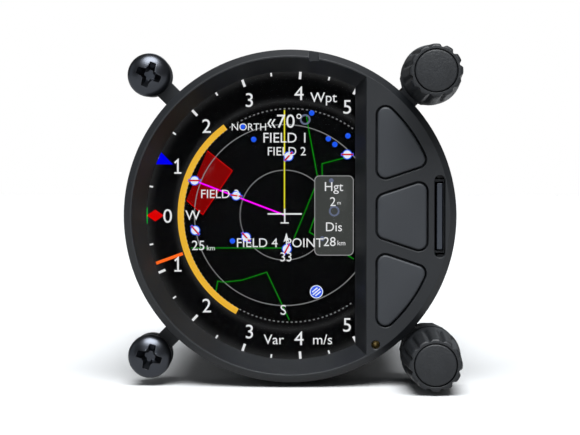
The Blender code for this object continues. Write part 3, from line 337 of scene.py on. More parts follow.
links.new(mottle.outputs["Fac"], shade.inputs["Value"])
seen_by_eye = nodes.new("ShaderNodeLightPath")
flagged = nodes.new("ShaderNodeMix")
flagged.data_type = "RGBA"
flagged.inputs[6].default_value = (TABLE_FLAGGED, TABLE_FLAGGED, TABLE_FLAGGED, 1.0)
links.new(seen_by_eye.outputs["Is Camera Ray"], flagged.inputs["Factor"])
links.new(shade.outputs["Result"], flagged.inputs[7])
links.new(flagged.outputs[2], shader.inputs["Base Color"])
table_mesh.materials.append(table_paint)
print(f"table {2 * edge:.1f} m wide at {table_low / MM:.1f} mm")

# %% Lamps
KEY_STRENGTH = 4.7
KEY_DISC = math.radians(42.0)
KEY_FROM = Vector((0.03, -0.55, 0.74))
KEY_COLOUR = (0.955, 0.98, 1.0)
LAMP_COLOUR = (0.84, 0.92, 1.0)

key_data = bpy.data.lights.new("key", "SUN")
key_data.energy = KEY_STRENGTH
key_data.color = KEY_COLOUR
key_data.angle = KEY_DISC
key = bpy.data.objects.new("key", key_data)
bpy.context.scene.collection.objects.link(key)
key.location = KEY_FROM
key.rotation_euler = (-KEY_FROM).to_track_quat("-Z", "Y").to_euler()

LAMPS = {
    "left": ((-0.70, -0.15, 0.22), 0.45, 0.35),
    "right": ((0.70, -0.15, 0.24), 0.40, 0.08),
    "front": ((-0.05, -0.80, 0.08), 0.52, 0.6),
    "behind": ((0.1, 0.75, 0.55), 0.60, 0.8),
}
for label, (place, width, brightness) in LAMPS.items():
    lamp_data = bpy.data.lights.new(f"lamp_{label}", "AREA")
    lamp_data.shape = "SQUARE"
    lamp_data.color = LAMP_COLOUR
    lamp_data.size = width
    lamp_data.energy = math.pi * width * width * brightness
    lamp = bpy.data.objects.new(f"lamp_{label}", lamp_data)
    bpy.context.scene.collection.objects.link(lamp)
    lamp.location = place
    lamp.rotation_euler = (-lamp.location).to_track_quat("-Z", "Y").to_euler()
    lamp.visible_camera = False
    print(f"lamp {label}: {lamp_data.energy:.2f} W over {width:.2f} m")

# %% [markdown]
# The room itself is a plain white wall far away. What the eye sees of it is white. What lights the
# instrument is dimmer, and dimmest on the viewer's side, as in a studio where the camera stands in
# the dark half of the room. Otherwise the flat window would mirror a white wall.

# %% Room
room = bpy.data.worlds.new("room")
bpy.context.scene.world = room
room.use_nodes = True
nodes = room.node_tree.nodes
links = room.node_tree.links
nodes.clear()
seen = nodes.new("ShaderNodeBackground")
seen.inputs["Color"].default_value = (1.0, 1.0, 1.0, 1.0)
seen.inputs["Strength"].default_value = 1.0
lit = nodes.new("ShaderNodeBackground")
lit.inputs["Strength"].default_value = 1.0
direction = nodes.new("ShaderNodeTexCoord")
parts = nodes.new("ShaderNodeSeparateXYZ")
ramp = nodes.new("ShaderNodeMapRange")
ramp.inputs["From Min"].default_value = -1.0
ramp.inputs["From Max"].default_value = 0.3
ramp.inputs["To Min"].default_value = 0.015
ramp.inputs["To Max"].default_value = 0.13
links.new(direction.outputs["Generated"], parts.inputs["Vector"])
links.new(parts.outputs["Y"], ramp.inputs["Value"])
links.new(ramp.outputs["Result"], lit.inputs["Color"])
path = nodes.new("ShaderNodeLightPath")
mix = nodes.new("ShaderNodeMixShader")
output = nodes.new("ShaderNodeOutputWorld")
links.new(path.outputs["Is Camera Ray"], mix.inputs["Fac"])
links.new(lit.outputs["Background"], mix.inputs[1])
links.new(seen.outputs["Background"], mix.inputs[2])
links.new(mix.outputs["Shader"], output.inputs["Surface"])
bpy.context.scene.view_settings.view_transform = "Standard"
print("room: white to the eye, dim on the viewer's side")

# %% [markdown]
# ## Effects that several finishes share
# Paint, moulded plastic and machined metal all have some fine texture, some unevenness in how
# they shine, and edges that hands have rubbed. Each effect is a node group that is built once.
# The finishes below place it with values of their own.

# %% A small helper for wiring groups
def group_of(name, wanted, offered):
    """An empty shader node group with named number sockets, and its tree."""
    tree = bpy.data.node_groups.new(name, "ShaderNodeTree")
    for label, value in wanted.items():
        kind = "NodeSocketVector" if value is None else "NodeSocketFloat"
        socket = tree.interface.new_socket(name=label, in_out="INPUT", socket_type=kind)
        if value is not None:
            socket.default_value = value
    for label in offered:
        tree.interface.new_socket(name=label, in_out="OUTPUT", socket_type="NodeSocketFloat")
    return tree, tree.nodes.new("NodeGroupInput"), tree.nodes.new("NodeGroupOutput")


def maths(tree, operation, first, second=None, clamp=False):
    """A Math node on sockets or plain numbers; gives its output socket."""
    node = tree.nodes.new("ShaderNodeMath")
    node.operation = operation
    node.use_clamp = clamp
    for index, value in enumerate((first, second)):
        if value is None:
            continue
        if isinstance(value, (int, float)):
            node.inputs[index].default_value = value
        else:
            tree.links.new(value, node.inputs[index])
    return node.outputs[0]


print("group helpers ready")

# %% [markdown]
# **Grain.** A moulded or bead-blasted surface is a field of tiny bumps. Fine noise gives the bumps
# and a cell pattern gives the pits between them. A second, slow noise gives the faint cloudiness
# that a large dark surface always has.

# %% Grain group
GRAIN, source, result = group_of(
    "surface_grain", {"Place": None, "Bumps per metre": 6000.0, "Clouds per metre": 90.0},
    ("Height", "Clouds"),
)
bumps = GRAIN.nodes.new("ShaderNodeTexNoise")
bumps.inputs["Detail"].default_value = 4.0
bumps.inputs["Roughness"].default_value = 0.6
pits = GRAIN.nodes.new("ShaderNodeTexVoronoi")
pits.feature = "SMOOTH_F1"
clouds = GRAIN.nodes.new("ShaderNodeTexNoise")
clouds.inputs["Detail"].default_value = 3.0
for texture in (bumps, pits, clouds):
    GRAIN.links.new(source.outputs["Place"], texture.inputs["Vector"])
GRAIN.links.new(source.outputs["Bumps per metre"], bumps.inputs["Scale"])
GRAIN.links.new(source.outputs["Bumps per metre"], pits.inputs["Scale"])
GRAIN.links.new(source.outputs["Clouds per metre"], clouds.inputs["Scale"])
height = maths(GRAIN, "MULTIPLY", pits.outputs["Distance"], 0.5)
height = maths(GRAIN, "ADD", height, bumps.outputs["Fac"])
GRAIN.links.new(height, result.inputs["Height"])
GRAIN.links.new(clouds.outputs["Fac"], result.inputs["Clouds"])
print("group", GRAIN.name)

# %% [markdown]
# ** Edge wear.** A Bevel node asks what the surface would face if its edges were rounded. Where
# that differs from what it does face, there is an edge. Noise breaks the line up, because hands
# and tools never rub an edge evenly. The lighter colour that a finish gives this edge is partly
# rubbed wear and partly a painted highlight along the edge.

# %% Edge wear group
WEAR_AND_HIGHLIGHT, source, result = group_of(
    "edge_wear_and_highlight", {"Place": None, "Reach": 0.0002, "Patches per metre": 500.0, "Amount": 1.0}, ("Wear",)
)
rounded = WEAR_AND_HIGHLIGHT.nodes.new("ShaderNodeBevel")
rounded.samples = 4
WEAR_AND_HIGHLIGHT.links.new(source.outputs["Reach"], rounded.inputs["Radius"])
facing = WEAR_AND_HIGHLIGHT.nodes.new("ShaderNodeNewGeometry")
likeness = WEAR_AND_HIGHLIGHT.nodes.new("ShaderNodeVectorMath")
likeness.operation = "DOT_PRODUCT"
WEAR_AND_HIGHLIGHT.links.new(rounded.outputs["Normal"], likeness.inputs[0])
WEAR_AND_HIGHLIGHT.links.new(facing.outputs["Normal"], likeness.inputs[1])
turned_away = maths(WEAR_AND_HIGHLIGHT, "SUBTRACT", 1.0, likeness.outputs["Value"])
line = maths(WEAR_AND_HIGHLIGHT, "MULTIPLY", turned_away, 5.0, clamp=True)
patches = WEAR_AND_HIGHLIGHT.nodes.new("ShaderNodeTexNoise")
patches.inputs["Detail"].default_value = 5.0
WEAR_AND_HIGHLIGHT.links.new(source.outputs["Place"], patches.inputs["Vector"])
WEAR_AND_HIGHLIGHT.links.new(source.outputs["Patches per metre"], patches.inputs["Scale"])
broken = maths(WEAR_AND_HIGHLIGHT, "SUBTRACT", patches.outputs["Fac"], 0.35)
broken = maths(WEAR_AND_HIGHLIGHT, "MULTIPLY", broken, 3.0, clamp=True)
worn = maths(WEAR_AND_HIGHLIGHT, "MULTIPLY", line, broken)
worn = maths(WEAR_AND_HIGHLIGHT, "MULTIPLY", worn, source.outputs["Amount"], clamp=True)
WEAR_AND_HIGHLIGHT.links.new(worn, result.inputs["Wear"])
print("group", WEAR_AND_HIGHLIGHT.name)

# %% [markdown]
# **Handling.** Fingers leave slow, soft patches of a different shine, and dust settles on faces
# that look upwards. Both are masks, so a finish decides what they do to it.

# %% Handling group
HANDLING, source, result = group_of(
    "handling", {"Place": None, "Smears per metre": 160.0, "Specks per metre": 5200.0}, ("Smears", "Dust")
)
smears = HANDLING.nodes.new("ShaderNodeTexNoise")
smears.inputs["Detail"].default_value = 2.0
smears.inputs["Distortion"].default_value = 0.8
specks = HANDLING.nodes.new("ShaderNodeTexNoise")
specks.inputs["Detail"].default_value = 6.0
HANDLING.links.new(source.outputs["Place"], smears.inputs["Vector"])
HANDLING.links.new(source.outputs["Place"], specks.inputs["Vector"])
HANDLING.links.new(source.outputs["Smears per metre"], smears.inputs["Scale"])
HANDLING.links.new(source.outputs["Specks per metre"], specks.inputs["Scale"])
facing = HANDLING.nodes.new("ShaderNodeNewGeometry")
parts = HANDLING.nodes.new("ShaderNodeSeparateXYZ")
HANDLING.links.new(facing.outputs["Normal"], parts.inputs["Vector"])
upward = maths(HANDLING, "MAXIMUM", parts.outputs["Z"], 0.0)
sharp_specks = maths(HANDLING, "SUBTRACT", specks.outputs["Fac"], 0.56)
sharp_specks = maths(HANDLING, "MULTIPLY", sharp_specks, 6.0, clamp=True)
settled = maths(HANDLING, "MULTIPLY", upward, sharp_specks, clamp=True)
HANDLING.links.new(smears.outputs["Fac"], result.inputs["Smears"])
HANDLING.links.new(settled, result.inputs["Dust"])
print("group", HANDLING.name)

# %% [markdown]
# **Turning marks.** A lathe tool leaves fine rings round the axis. The distance from the axis and
# the place along it, stretched far more finely than the place round it, give rings that are
# never quite regular.

# %% Turning marks group
TURNING, source, result = group_of("turning_marks", {"Place": None, "Rings per metre": 9000.0}, ("Height",))
parts = TURNING.nodes.new("ShaderNodeSeparateXYZ")
TURNING.links.new(source.outputs["Place"], parts.inputs["Vector"])
across = maths(TURNING, "MULTIPLY", parts.outputs["X"], parts.outputs["X"])
upright = maths(TURNING, "MULTIPLY", parts.outputs["Z"], parts.outputs["Z"])
radius = maths(TURNING, "SQRT", maths(TURNING, "ADD", across, upright))
around = maths(TURNING, "ARCTAN2", parts.outputs["Z"], parts.outputs["X"])
spread = maths(TURNING, "MULTIPLY", source.outputs["Rings per metre"], radius)
along = maths(TURNING, "MULTIPLY", source.outputs["Rings per metre"], parts.outputs["Y"])
joined = TURNING.nodes.new("ShaderNodeCombineXYZ")
TURNING.links.new(spread, joined.inputs["X"])
TURNING.links.new(along, joined.inputs["Y"])
TURNING.links.new(around, joined.inputs["Z"])
rings = TURNING.nodes.new("ShaderNodeTexNoise")
rings.inputs["Scale"].default_value = 1.0
rings.inputs["Detail"].default_value = 3.0
TURNING.links.new(joined.outputs["Vector"], rings.inputs["Vector"])
TURNING.links.new(rings.outputs["Fac"], result.inputs["Height"])
print("group", TURNING.name)

# %% [markdown]
# ## Finishes
# Nearly every part here is black, and what tells them apart is how they shine: satin paint on the
# bezel, softer plastic on the buttons, oil-blackened steel on the screws. One function wires a
# finish from the shared effects, so that each finish is a short list of values with a reason.

# %% One function for a worn, grained finish
def finish(
    name, colour, roughness, metallic=0.0, grain=6000.0, relief=0.004, clouds=90.0, unevenness=0.16,
    worn_and_highlight_colour=None, wear=0.0, reach=0.2, shine_spread=0.10, dust=0.04, turned=0.0, specular=0.5,
):
    """A Principled material with grain, slow clouds, edge wear with a painted edge highlight, smears and dust
    of its own amounts.
    """
    made = bpy.data.materials.new(name)
    made.use_nodes = True
    made.diffuse_color = (*colour, 1.0)
    tree = made.node_tree
    shader = tree.nodes["Principled BSDF"]
    shader.inputs["Metallic"].default_value = metallic
    shader.inputs["Specular IOR Level"].default_value = specular
    place = tree.nodes.new("ShaderNodeTexCoord").outputs["Object"]

    def effect(group, **values):
        node = tree.nodes.new("ShaderNodeGroup")
        node.node_tree = group
        tree.links.new(place, node.inputs["Place"])
        for label, value in values.items():
            node.inputs[label.replace("_", " ")].default_value = value
        return node

    def blend(share, first, second):
        node = tree.nodes.new("ShaderNodeMix")
        node.data_type = "RGBA"
        tree.links.new(share, node.inputs["Factor"])
        for index, value in ((6, first), (7, second)):
            if isinstance(value, tuple):
                node.inputs[index].default_value = (*value, 1.0)
            else:
                tree.links.new(value, node.inputs[index])
        return node.outputs[2]

    texture = effect(GRAIN, Bumps_per_metre=grain, Clouds_per_metre=clouds)
    touched = effect(HANDLING)
    low = tuple(channel * (1.0 - unevenness) for channel in colour)
    high = tuple(channel * (1.0 + unevenness) for channel in colour)
    tone = blend(texture.outputs["Clouds"], low, high)
    shine = maths(tree, "MULTIPLY", touched.outputs["Smears"], shine_spread)
    shine = maths(tree, "ADD", shine, roughness - shine_spread / 2)
    if wear > 0.0:
        # Painted highlight: the edge mask lightens edges towards the edge colour, both as rubbed wear and as
        # light caught along them.
        rubbed_and_highlighted_edges = effect(WEAR_AND_HIGHLIGHT, Reach=reach * MM, Amount=wear)
        tone = blend(rubbed_and_highlighted_edges.outputs["Wear"], tone, worn_and_highlight_colour or high)
        polished = maths(tree, "MULTIPLY", rubbed_and_highlighted_edges.outputs["Wear"], 0.12)
        shine = maths(tree, "SUBTRACT", shine, polished)
    if dust > 0.0:
        settled = maths(tree, "MULTIPLY", touched.outputs["Dust"], dust)
        tone = blend(settled, tone, (0.42, 0.41, 0.39))
    tree.links.new(tone, shader.inputs["Base Color"])
    tree.links.new(shine, shader.inputs["Roughness"])
    relief_map = texture.outputs["Height"]
    if turned > 0.0:
        rings = effect(TURNING)
        cut_rings = maths(tree, "MULTIPLY", rings.outputs["Height"], turned)
        relief_map = maths(tree, "ADD", relief_map, cut_rings)
    bump = tree.nodes.new("ShaderNodeBump")
    bump.inputs["Distance"].default_value = relief * MM
    tree.links.new(relief_map, bump.inputs["Height"])
    tree.links.new(bump.outputs["Normal"], shader.inputs["Normal"])
    return made


print("finish() ready")

# %% [markdown]
# The bezel is satin black with a trace of blue. Its edges are painted a little lighter, partly as
# rubbed paint and partly as a painted highlight along them. The buttons are softer and lighter. The
# knobs carry a coarser, mottled grain, as a soft-touch plastic does, and it shows as small light
# flecks on the caps.

# %% Black finishes on the face
# The bezel's lighter edge colour is a painted highlight along its edges as well as rubbed paint.
BEZEL = finish(
    "bezel_black", (0.0108, 0.0120, 0.0142), 0.43, grain=5200.0, relief=0.006, unevenness=0.14,
    worn_and_highlight_colour=(0.085, 0.090, 0.100), wear=0.8, reach=0.16,
)
BUTTON = finish(
    "button_black", (0.0275, 0.0304, 0.0358), 0.50, grain=5600.0, relief=0.006, unevenness=0.12,
    worn_and_highlight_colour=(0.150, 0.158, 0.172), wear=0.8, reach=0.20,
)
KNOB = finish(
    "knob_black", (0.0112, 0.0124, 0.0145), 0.46, grain=2400.0, relief=0.045, clouds=700.0, unevenness=0.50,
    worn_and_highlight_colour=(0.095, 0.096, 0.098), wear=0.55, reach=0.20, shine_spread=0.16,
)
print(BEZEL.name, BUTTON.name, KNOB.name)

# %% [markdown]
# The screws are steel blackened in hot oxide and oiled. That is a metal, so it has no colour of
# its own under the reflections, and turning marks run round the head. Bright steel, brass and
# gold differ from it only in colour, roughness and the depth of their marks.

# %% Metals
SCREW = finish(
    "screw_black", (0.075, 0.080, 0.092), 0.30, metallic=1.0, grain=9000.0, relief=0.0022, unevenness=0.22,
    worn_and_highlight_colour=(0.30, 0.30, 0.31), wear=0.55, reach=0.12, turned=0.8, dust=0.02,
)
STEEL = finish(
    "steel_bright", (0.56, 0.57, 0.58), 0.27, metallic=1.0, grain=8000.0, relief=0.0016, unevenness=0.08,
    worn_and_highlight_colour=(0.75, 0.75, 0.75), wear=0.6, reach=0.10, turned=0.2, dust=0.03,
)
ZINC = finish(
    "zinc", (0.48, 0.49, 0.50), 0.36, metallic=1.0, grain=2600.0, relief=0.003, clouds=420.0,
    unevenness=0.16, worn_and_highlight_colour=(0.68, 0.68, 0.69), wear=0.5, reach=0.10, dust=0.03,
)
BRASS = finish(
    "brass", (0.70, 0.51, 0.22), 0.28, metallic=1.0, grain=7000.0, relief=0.002, clouds=260.0,
    unevenness=0.20, worn_and_highlight_colour=(0.90, 0.74, 0.42), wear=0.6, reach=0.14, turned=1.0, dust=0.03,
)
GOLD = finish(
    "gold_contact", (0.88, 0.62, 0.22), 0.22, metallic=1.0, grain=9000.0, relief=0.001,
    unevenness=0.08, dust=0.0,
)
HOUSING = finish(
    "housing_black", (0.030, 0.032, 0.036), 0.40, metallic=0.55, grain=4200.0, relief=0.004, clouds=60.0,
    unevenness=0.18, worn_and_highlight_colour=(0.42, 0.42, 0.43), wear=0.7, reach=0.16, turned=1.4,
)
COVER = finish(
    "cover_black", (0.028, 0.030, 0.033), 0.52, metallic=0.2, grain=2600.0, relief=0.014, clouds=80.0,
    unevenness=0.18, worn_and_highlight_colour=(0.36, 0.36, 0.37), wear=0.6, reach=0.18,
)
print("metals:", ", ".join(m.name for m in (SCREW, STEEL, ZINC, BRASS, GOLD, HOUSING, COVER)))

# %% [markdown]
# The plastics inside are matt. The sensor is a tiny amber epoxy lens. The flat lead has a
# dark cover film, and the foam round the window is open-celled, so its grain is coarse and deep.

# %% Plastics, film and foam
MOULDED = finish("moulded_black", (0.018, 0.018, 0.020), 0.55, grain=4000.0, relief=0.008, wear=0.3,
                 worn_and_highlight_colour=(0.06, 0.06, 0.06))
CARD = finish("card_black", (0.034, 0.040, 0.052), 0.36, grain=6500.0, relief=0.004, wear=0.6,
              worn_and_highlight_colour=(0.12, 0.13, 0.15), reach=0.10)
AMBER = finish("sensor_amber", (0.62, 0.42, 0.13), 0.16, metallic=0.35, grain=3000.0, relief=0.001, dust=0.0)
FILM = finish("flex_film", (0.024, 0.019, 0.015), 0.38, grain=3600.0, relief=0.003, clouds=500.0,
              unevenness=0.25)
FOAM = finish("gasket_foam", (0.020, 0.020, 0.020), 0.92, grain=2400.0, relief=0.08, unevenness=0.3)
DIFFUSER = finish("backlight_white", (0.78, 0.79, 0.77), 0.45, grain=2200.0, relief=0.004, unevenness=0.05)
LINER = finish("mouth_black", (0.012, 0.012, 0.013), 0.60, grain=4000.0, relief=0.004)
print("plastics:", ", ".join(m.name for m in (MOULDED, CARD, AMBER, FILM, FOAM, DIFFUSER, LINER)))

# %% [markdown]
# A circuit board is glass cloth under green lacquer, with copper tracks that show through as
# lighter green. Brick-like bands of two sizes stand for the tracks, and a cell pattern for the
# small soldered holes.

# %% Circuit board
BOARD = finish("board_green", (0.022, 0.120, 0.060), 0.38, grain=3000.0, relief=0.004, unevenness=0.12)
tree = BOARD.node_tree
shader = tree.nodes["Principled BSDF"]
place = tree.nodes.new("ShaderNodeTexCoord").outputs["Object"]
tracks = tree.nodes.new("ShaderNodeTexBrick")
tracks.inputs["Scale"].default_value = 260.0
tracks.inputs["Mortar Size"].default_value = 0.035
tracks.inputs["Color1"].default_value = (0.020, 0.105, 0.052, 1.0)
tracks.inputs["Color2"].default_value = (0.024, 0.125, 0.062, 1.0)
tracks.inputs["Mortar"].default_value = (0.060, 0.235, 0.120, 1.0)
tree.links.new(place, tracks.inputs["Vector"])
pads = tree.nodes.new("ShaderNodeTexVoronoi")
pads.inputs["Scale"].default_value = 420.0
tree.links.new(place, pads.inputs["Vector"])
pad_mask = maths(tree, "LESS_THAN", pads.outputs["Distance"], 0.14)
soldered = tree.nodes.new("ShaderNodeMix")
soldered.data_type = "RGBA"
tree.links.new(pad_mask, soldered.inputs["Factor"])
tree.links.new(tracks.outputs["Color"], soldered.inputs[6])
soldered.inputs[7].default_value = (0.60, 0.60, 0.58, 1.0)
tree.links.new(soldered.outputs[2], shader.inputs["Base Color"])
print("board lacquer ready")

# %% [markdown]
# ## Front frame
# One casting makes the bezel, the flange behind the panel with its four ears, and the spigot that
# the housing slides over. It starts as a turned ring, because that gives the chamfer and the sunk
# cone clean, even faces. The ears and the solid block beside the display are joined on, and then
# everything that passes through the face is cut out.

# %% Sizes of the bezel
BEZEL_RADIUS = 27.7
CHAMFER = 1.1
RIM_RADIUS = BEZEL_RADIUS - CHAMFER
RIM_INNER = RIM_RADIUS - 0.25
RECESS_DEPTH = 4.0
LEDGE = FACE + RECESS_DEPTH
VIEW_RADIUS = 24.2
VIEW_LIMIT = 10.9
WALL_LIMIT = 12.7
POCKET_RADIUS = 25.0
SPIGOT_RADIUS = 26.7
INNER_RADIUS = 25.6
CLEAR = 0.3
print(f"recess {RECESS_DEPTH:.1f} mm deep, view {VIEW_RADIUS + VIEW_LIMIT:.1f} mm wide")

# %% [markdown]
# Edges that look sharp are never quite sharp. Each one is given a small round in the profile
# itself, which is more reliable than rounding a finished casting, and it is these rounds that
# catch the light along the rim.

# %% Turned ring with rounded edges
def round_corner(before, corner, after, radius, steps=4):
    """Replaces a profile's corner with a short arc that touches both of its sides."""
    corner_at = Vector(corner)
    back = (Vector(before) - corner_at).normalized()
    ahead = (Vector(after) - corner_at).normalized()
    half = back.angle(ahead) / 2
    reach = radius / math.tan(half)
    start = corner_at + back * reach
    end = corner_at + ahead * reach
    points = []
    for step in range(steps + 1):
        t = step / steps
        points.append(tuple(start * (1 - t) ** 2 + corner_at * 2 * t * (1 - t) + end * t ** 2))
    return points


def eased(profile, rounds):
    """A profile in which the corners named in rounds, as index: radius, are rounded."""
    made = []
    for index, point in enumerate(profile):
        if index in rounds:
            following = profile[(index + 1) % len(profile)]
            made += round_corner(profile[index - 1], point, following, rounds[index])
        else:
            made.append(point)
    return made


ring = [
    (VIEW_RADIUS, LEDGE),
    (RIM_INNER, FACE),
    (RIM_RADIUS, FACE),
    (BEZEL_RADIUS, FACE + CHAMFER),
    (BEZEL_RADIUS, PANEL_BACK),
    (TUBE_RADIUS, PANEL_BACK),
    (TUBE_RADIUS, FLANGE_BACK),
    (SPIGOT_RADIUS, FLANGE_BACK),
    (SPIGOT_RADIUS, SPIGOT_BACK),
    (INNER_RADIUS, SPIGOT_BACK),
    (INNER_RADIUS, panel_high.y + 2.6),
    (POCKET_RADIUS, panel_high.y + 2.6),
    (POCKET_RADIUS, LEDGE),
]
ring = eased(ring, {1: 0.10, 2: 0.10, 3: 0.16, 5: 0.15, 6: 0.25, 8: 0.20})
front_frame = as_object("bezel_and_flange", lathe(ring, SEGMENTS, closed=True))
print(f"ring: {len(front_frame.data.polygons)} faces")

# %% Ears behind the panel
EAR_REACH = math.hypot(PITCH, PITCH)
NECK = 3.2
EARS = {"screw": (-1, 3.5, 2.25), "knob": (1, 4.9, 3.3)}


def ear_outline(radius, direction):
    """A neck with parallel sides that ends in a round ear."""
    spread = math.asin(NECK / 2 / radius)
    end = arc((EAR_REACH, 0.0), radius, -math.pi + spread, math.pi - spread, 40)
    root = POCKET_RADIUS + 0.8
    outline = [(root, -NECK / 2), *end, (root, NECK / 2)]
    turn = Matrix.Rotation(direction, 2)
    return [tuple(turn @ Vector(point)) for point in outline]


ears = []
ear_holes = []
for side, ear_radius, hole_radius in EARS.values():
    for height in (1, -1):
        ears.append(ear_outline(ear_radius, math.atan2(height, side)))
        ear_holes.append(circle((side * PITCH, height * PITCH), hole_radius, 40))
cut(front_frame, plates(ears, PANEL_BACK, FLANGE_BACK), "UNION")
print(f"{len(ears)} ears, {EAR_REACH:.2f} mm from the axis")

# %% [markdown]
# The display opening is a disc with its right side cut straight. The block that fills the rest
# of the disc carries the buttons. Its wall slopes, so each level of the loft ends at a
# different place.

# %% Block beside the display
def disc_right_of(radius, limit, steps=72):
    """The part of a disc about the axis that lies right of a straight line."""
    corner = math.acos(limit / radius)
    return arc((0.0, 0.0), radius, -corner, corner, steps)


levels = []
for share in (0.0, 0.035, 0.10, 1.0):
    cone = RIM_INNER + (VIEW_RADIUS - RIM_INNER) * share
    wall = WALL_LIMIT + (VIEW_LIMIT - WALL_LIMIT) * share
    if share == 0.0:
        wall += 0.10
    levels.append((FACE + RECESS_DEPTH * share, disc_right_of(cone + 0.125, wall)))
cut(front_frame, loft(levels), "UNION")
pocket = disc_right_of(INNER_RADIUS - 0.2, WALL_LIMIT + 0.3)
cut(front_frame, plates([pocket], FACE + 2.2, panel_high.y + 2.9))
print("block joined, pocket behind it cut")

# %% [markdown]
# ## Buttons
# Three push buttons fill the plate beside the display: two wedges that follow the rim, and a
# block between them. Two ribs of the plate, which run towards a point near the axis, part them.
# Each outline is worked out from its straight edges and the rim, so one set of numbers gives the
# cap, the opening round it and the lip behind it.

# %% Straight edges and where they meet
BUTTON_LEFT = 14.4
BUTTON_RIGHT = 22.8
BUTTON_ARC = 24.55
BUTTON_CORNER = 1.45
RIB_WIDTH = 2.2
RIB_ANGLE = math.radians(18.5)
RIB_ROOT = 0.8


def edge_line(angle, through_x):
    """A straight edge as its outward normal and its distance from the axis."""
    normal = (math.cos(angle), math.sin(angle))
    return normal, normal[0] * through_x


def rib_line(side, outward):
    """The edge beside a rib: side 1 is the upper rib, and outward 1 the button below it."""
    facing = side * (math.pi / 2 + RIB_ANGLE)
    if outward < 0:
        facing += math.pi
    normal = (math.cos(facing), math.sin(facing))
    return normal, normal[0] * RIB_ROOT - RIB_WIDTH / 2


def meeting(first, second, inset):
    """Where two edges meet, once both are moved inwards."""
    (ax, az), a_far = first
    (bx, bz), b_far = second
    a_far -= inset
    b_far -= inset
    spread = ax * bz - az * bx
    return (a_far * bz - b_far * az) / spread, (b_far * ax - a_far * bx) / spread


def rim_meeting(line, inset, highest):
    """Where an edge meets the rim's arc, once both are moved inwards."""
    (nx, nz), far = line
    far -= inset
    along = math.sqrt((BUTTON_ARC - inset) ** 2 - far ** 2)
    ends = [(nx * far - nz * along, nz * far + nx * along), (nx * far + nz * along, nz * far - nx * along)]
    return max(ends, key=lambda point: point[1] if highest else point[0])


def heading(line):
    """The direction that an edge faces."""
    return math.atan2(line[0][1], line[0][0])


def corner(centre, before, after, radius, steps=12):
    """The rounding between two edges, from one normal's direction to the next."""
    while after < before:
        after += 2 * math.pi
    return arc(centre, radius, before, after, steps)


print(f"ribs {RIB_WIDTH:.2f} mm wide, {math.degrees(RIB_ANGLE):.1f} degrees off level")

# %% The three outlines
def wedge_outline(offset):
    """The upper button, moved outwards by offset."""
    left = edge_line(math.pi, BUTTON_LEFT)
    rib = rib_line(1, -1)
    radius = BUTTON_CORNER + offset
    top = rim_meeting(left, BUTTON_CORNER, True)
    right = rim_meeting(rib, BUTTON_CORNER, False)
    low = meeting(left, rib, BUTTON_CORNER)
    top_angle = math.atan2(top[1], top[0])
    right_angle = math.atan2(right[1], right[0])
    points = arc((0.0, 0.0), BUTTON_ARC + offset, right_angle, top_angle, 30)
    points += corner(top, top_angle, math.pi, radius)[1:]
    points += corner(low, math.pi, heading(rib), radius)
    points += corner(right, heading(rib), right_angle, radius)[:-1]
    return points


def block_outline(offset):
    """The middle button, moved outwards by offset."""
    lines = [edge_line(0.0, BUTTON_RIGHT), rib_line(1, 1), edge_line(math.pi, BUTTON_LEFT), rib_line(-1, 1)]
    points = []
    for index, line in enumerate(lines):
        following = lines[(index + 1) % 4]
        middle = meeting(line, following, BUTTON_CORNER)
        points += corner(middle, heading(line), heading(following), BUTTON_CORNER + offset)
    return points


def button_outline(which, offset):
    """One of the three outlines; the lower button mirrors the upper."""
    if which == "middle":
        return block_outline(offset)
    points = wedge_outline(offset)
    if which == "lower":
        points = [(x, -z) for x, z in reversed(points)]
    return points


BUTTONS = ("upper", "middle", "lower")
for which in BUTTONS:
    xs, zs = zip(*button_outline(which, 0.0))
    print(f"{which} button {max(xs) - min(xs):.1f} x {max(zs) - min(zs):.1f} mm")

# %% [markdown]
# ### Openings in the face
# A hole in a painted casting has a small broken edge, and the paint shines there. Each cutter
# therefore flares where it leaves the face.

# %% Cut the face
SLOT_PLACE = ((card_low.x + card_high.x) / 2, 0.0)
SLOT_WIDTH = 1.75
SLOT_LENGTH = 13.6
SENSOR_PLACE = (14.26, -21.34)
SENSOR_HOLE = 0.7
BROKEN_EDGE = 0.13
PLATE_BACK = FACE + 2.2


def opening(outline_at):
    """A cutter through the face, flared at its mouth; outline_at(offset) gives its outline."""
    depth = ((-0.5, 1.0), (0.0, 1.0), (0.4, 0.35), (1.0, 0.0))
    levels = [(FACE + step * (BROKEN_EDGE if step > 0 else 1.0), outline_at(BROKEN_EDGE * flare))
              for step, flare in depth]
    levels.append((PLATE_BACK + 0.25, outline_at(0.0)))
    return loft(levels)


def slot_at(offset):
    """The card slot's outline, moved outwards by offset."""
    return slot_outline(SLOT_PLACE, SLOT_WIDTH + 2 * offset, SLOT_LENGTH + 2 * offset)


for which in BUTTONS:
    cut(front_frame, opening(lambda offset: button_outline(which, offset + CLEAR / 2)))
cut(front_frame, opening(slot_at))
cut(front_frame, opening(lambda offset: circle(SENSOR_PLACE, SENSOR_HOLE + offset, 40)))

NOTCH_X = 4.0
NOTCH_WIDTH = 1.7
NOTCH_DEPTH = 0.55
notch_middle = math.sqrt(RIM_RADIUS ** 2 - NOTCH_X ** 2) + (CHAMFER - NOTCH_DEPTH) / 2
notch = rectangle((NOTCH_X, notch_middle), NOTCH_WIDTH, NOTCH_DEPTH + CHAMFER, corner=0.2)
cut(front_frame, plates([notch], FACE - 0.5, FACE + 1.0))
print(f"face cut: {len(front_frame.data.polygons)} faces")

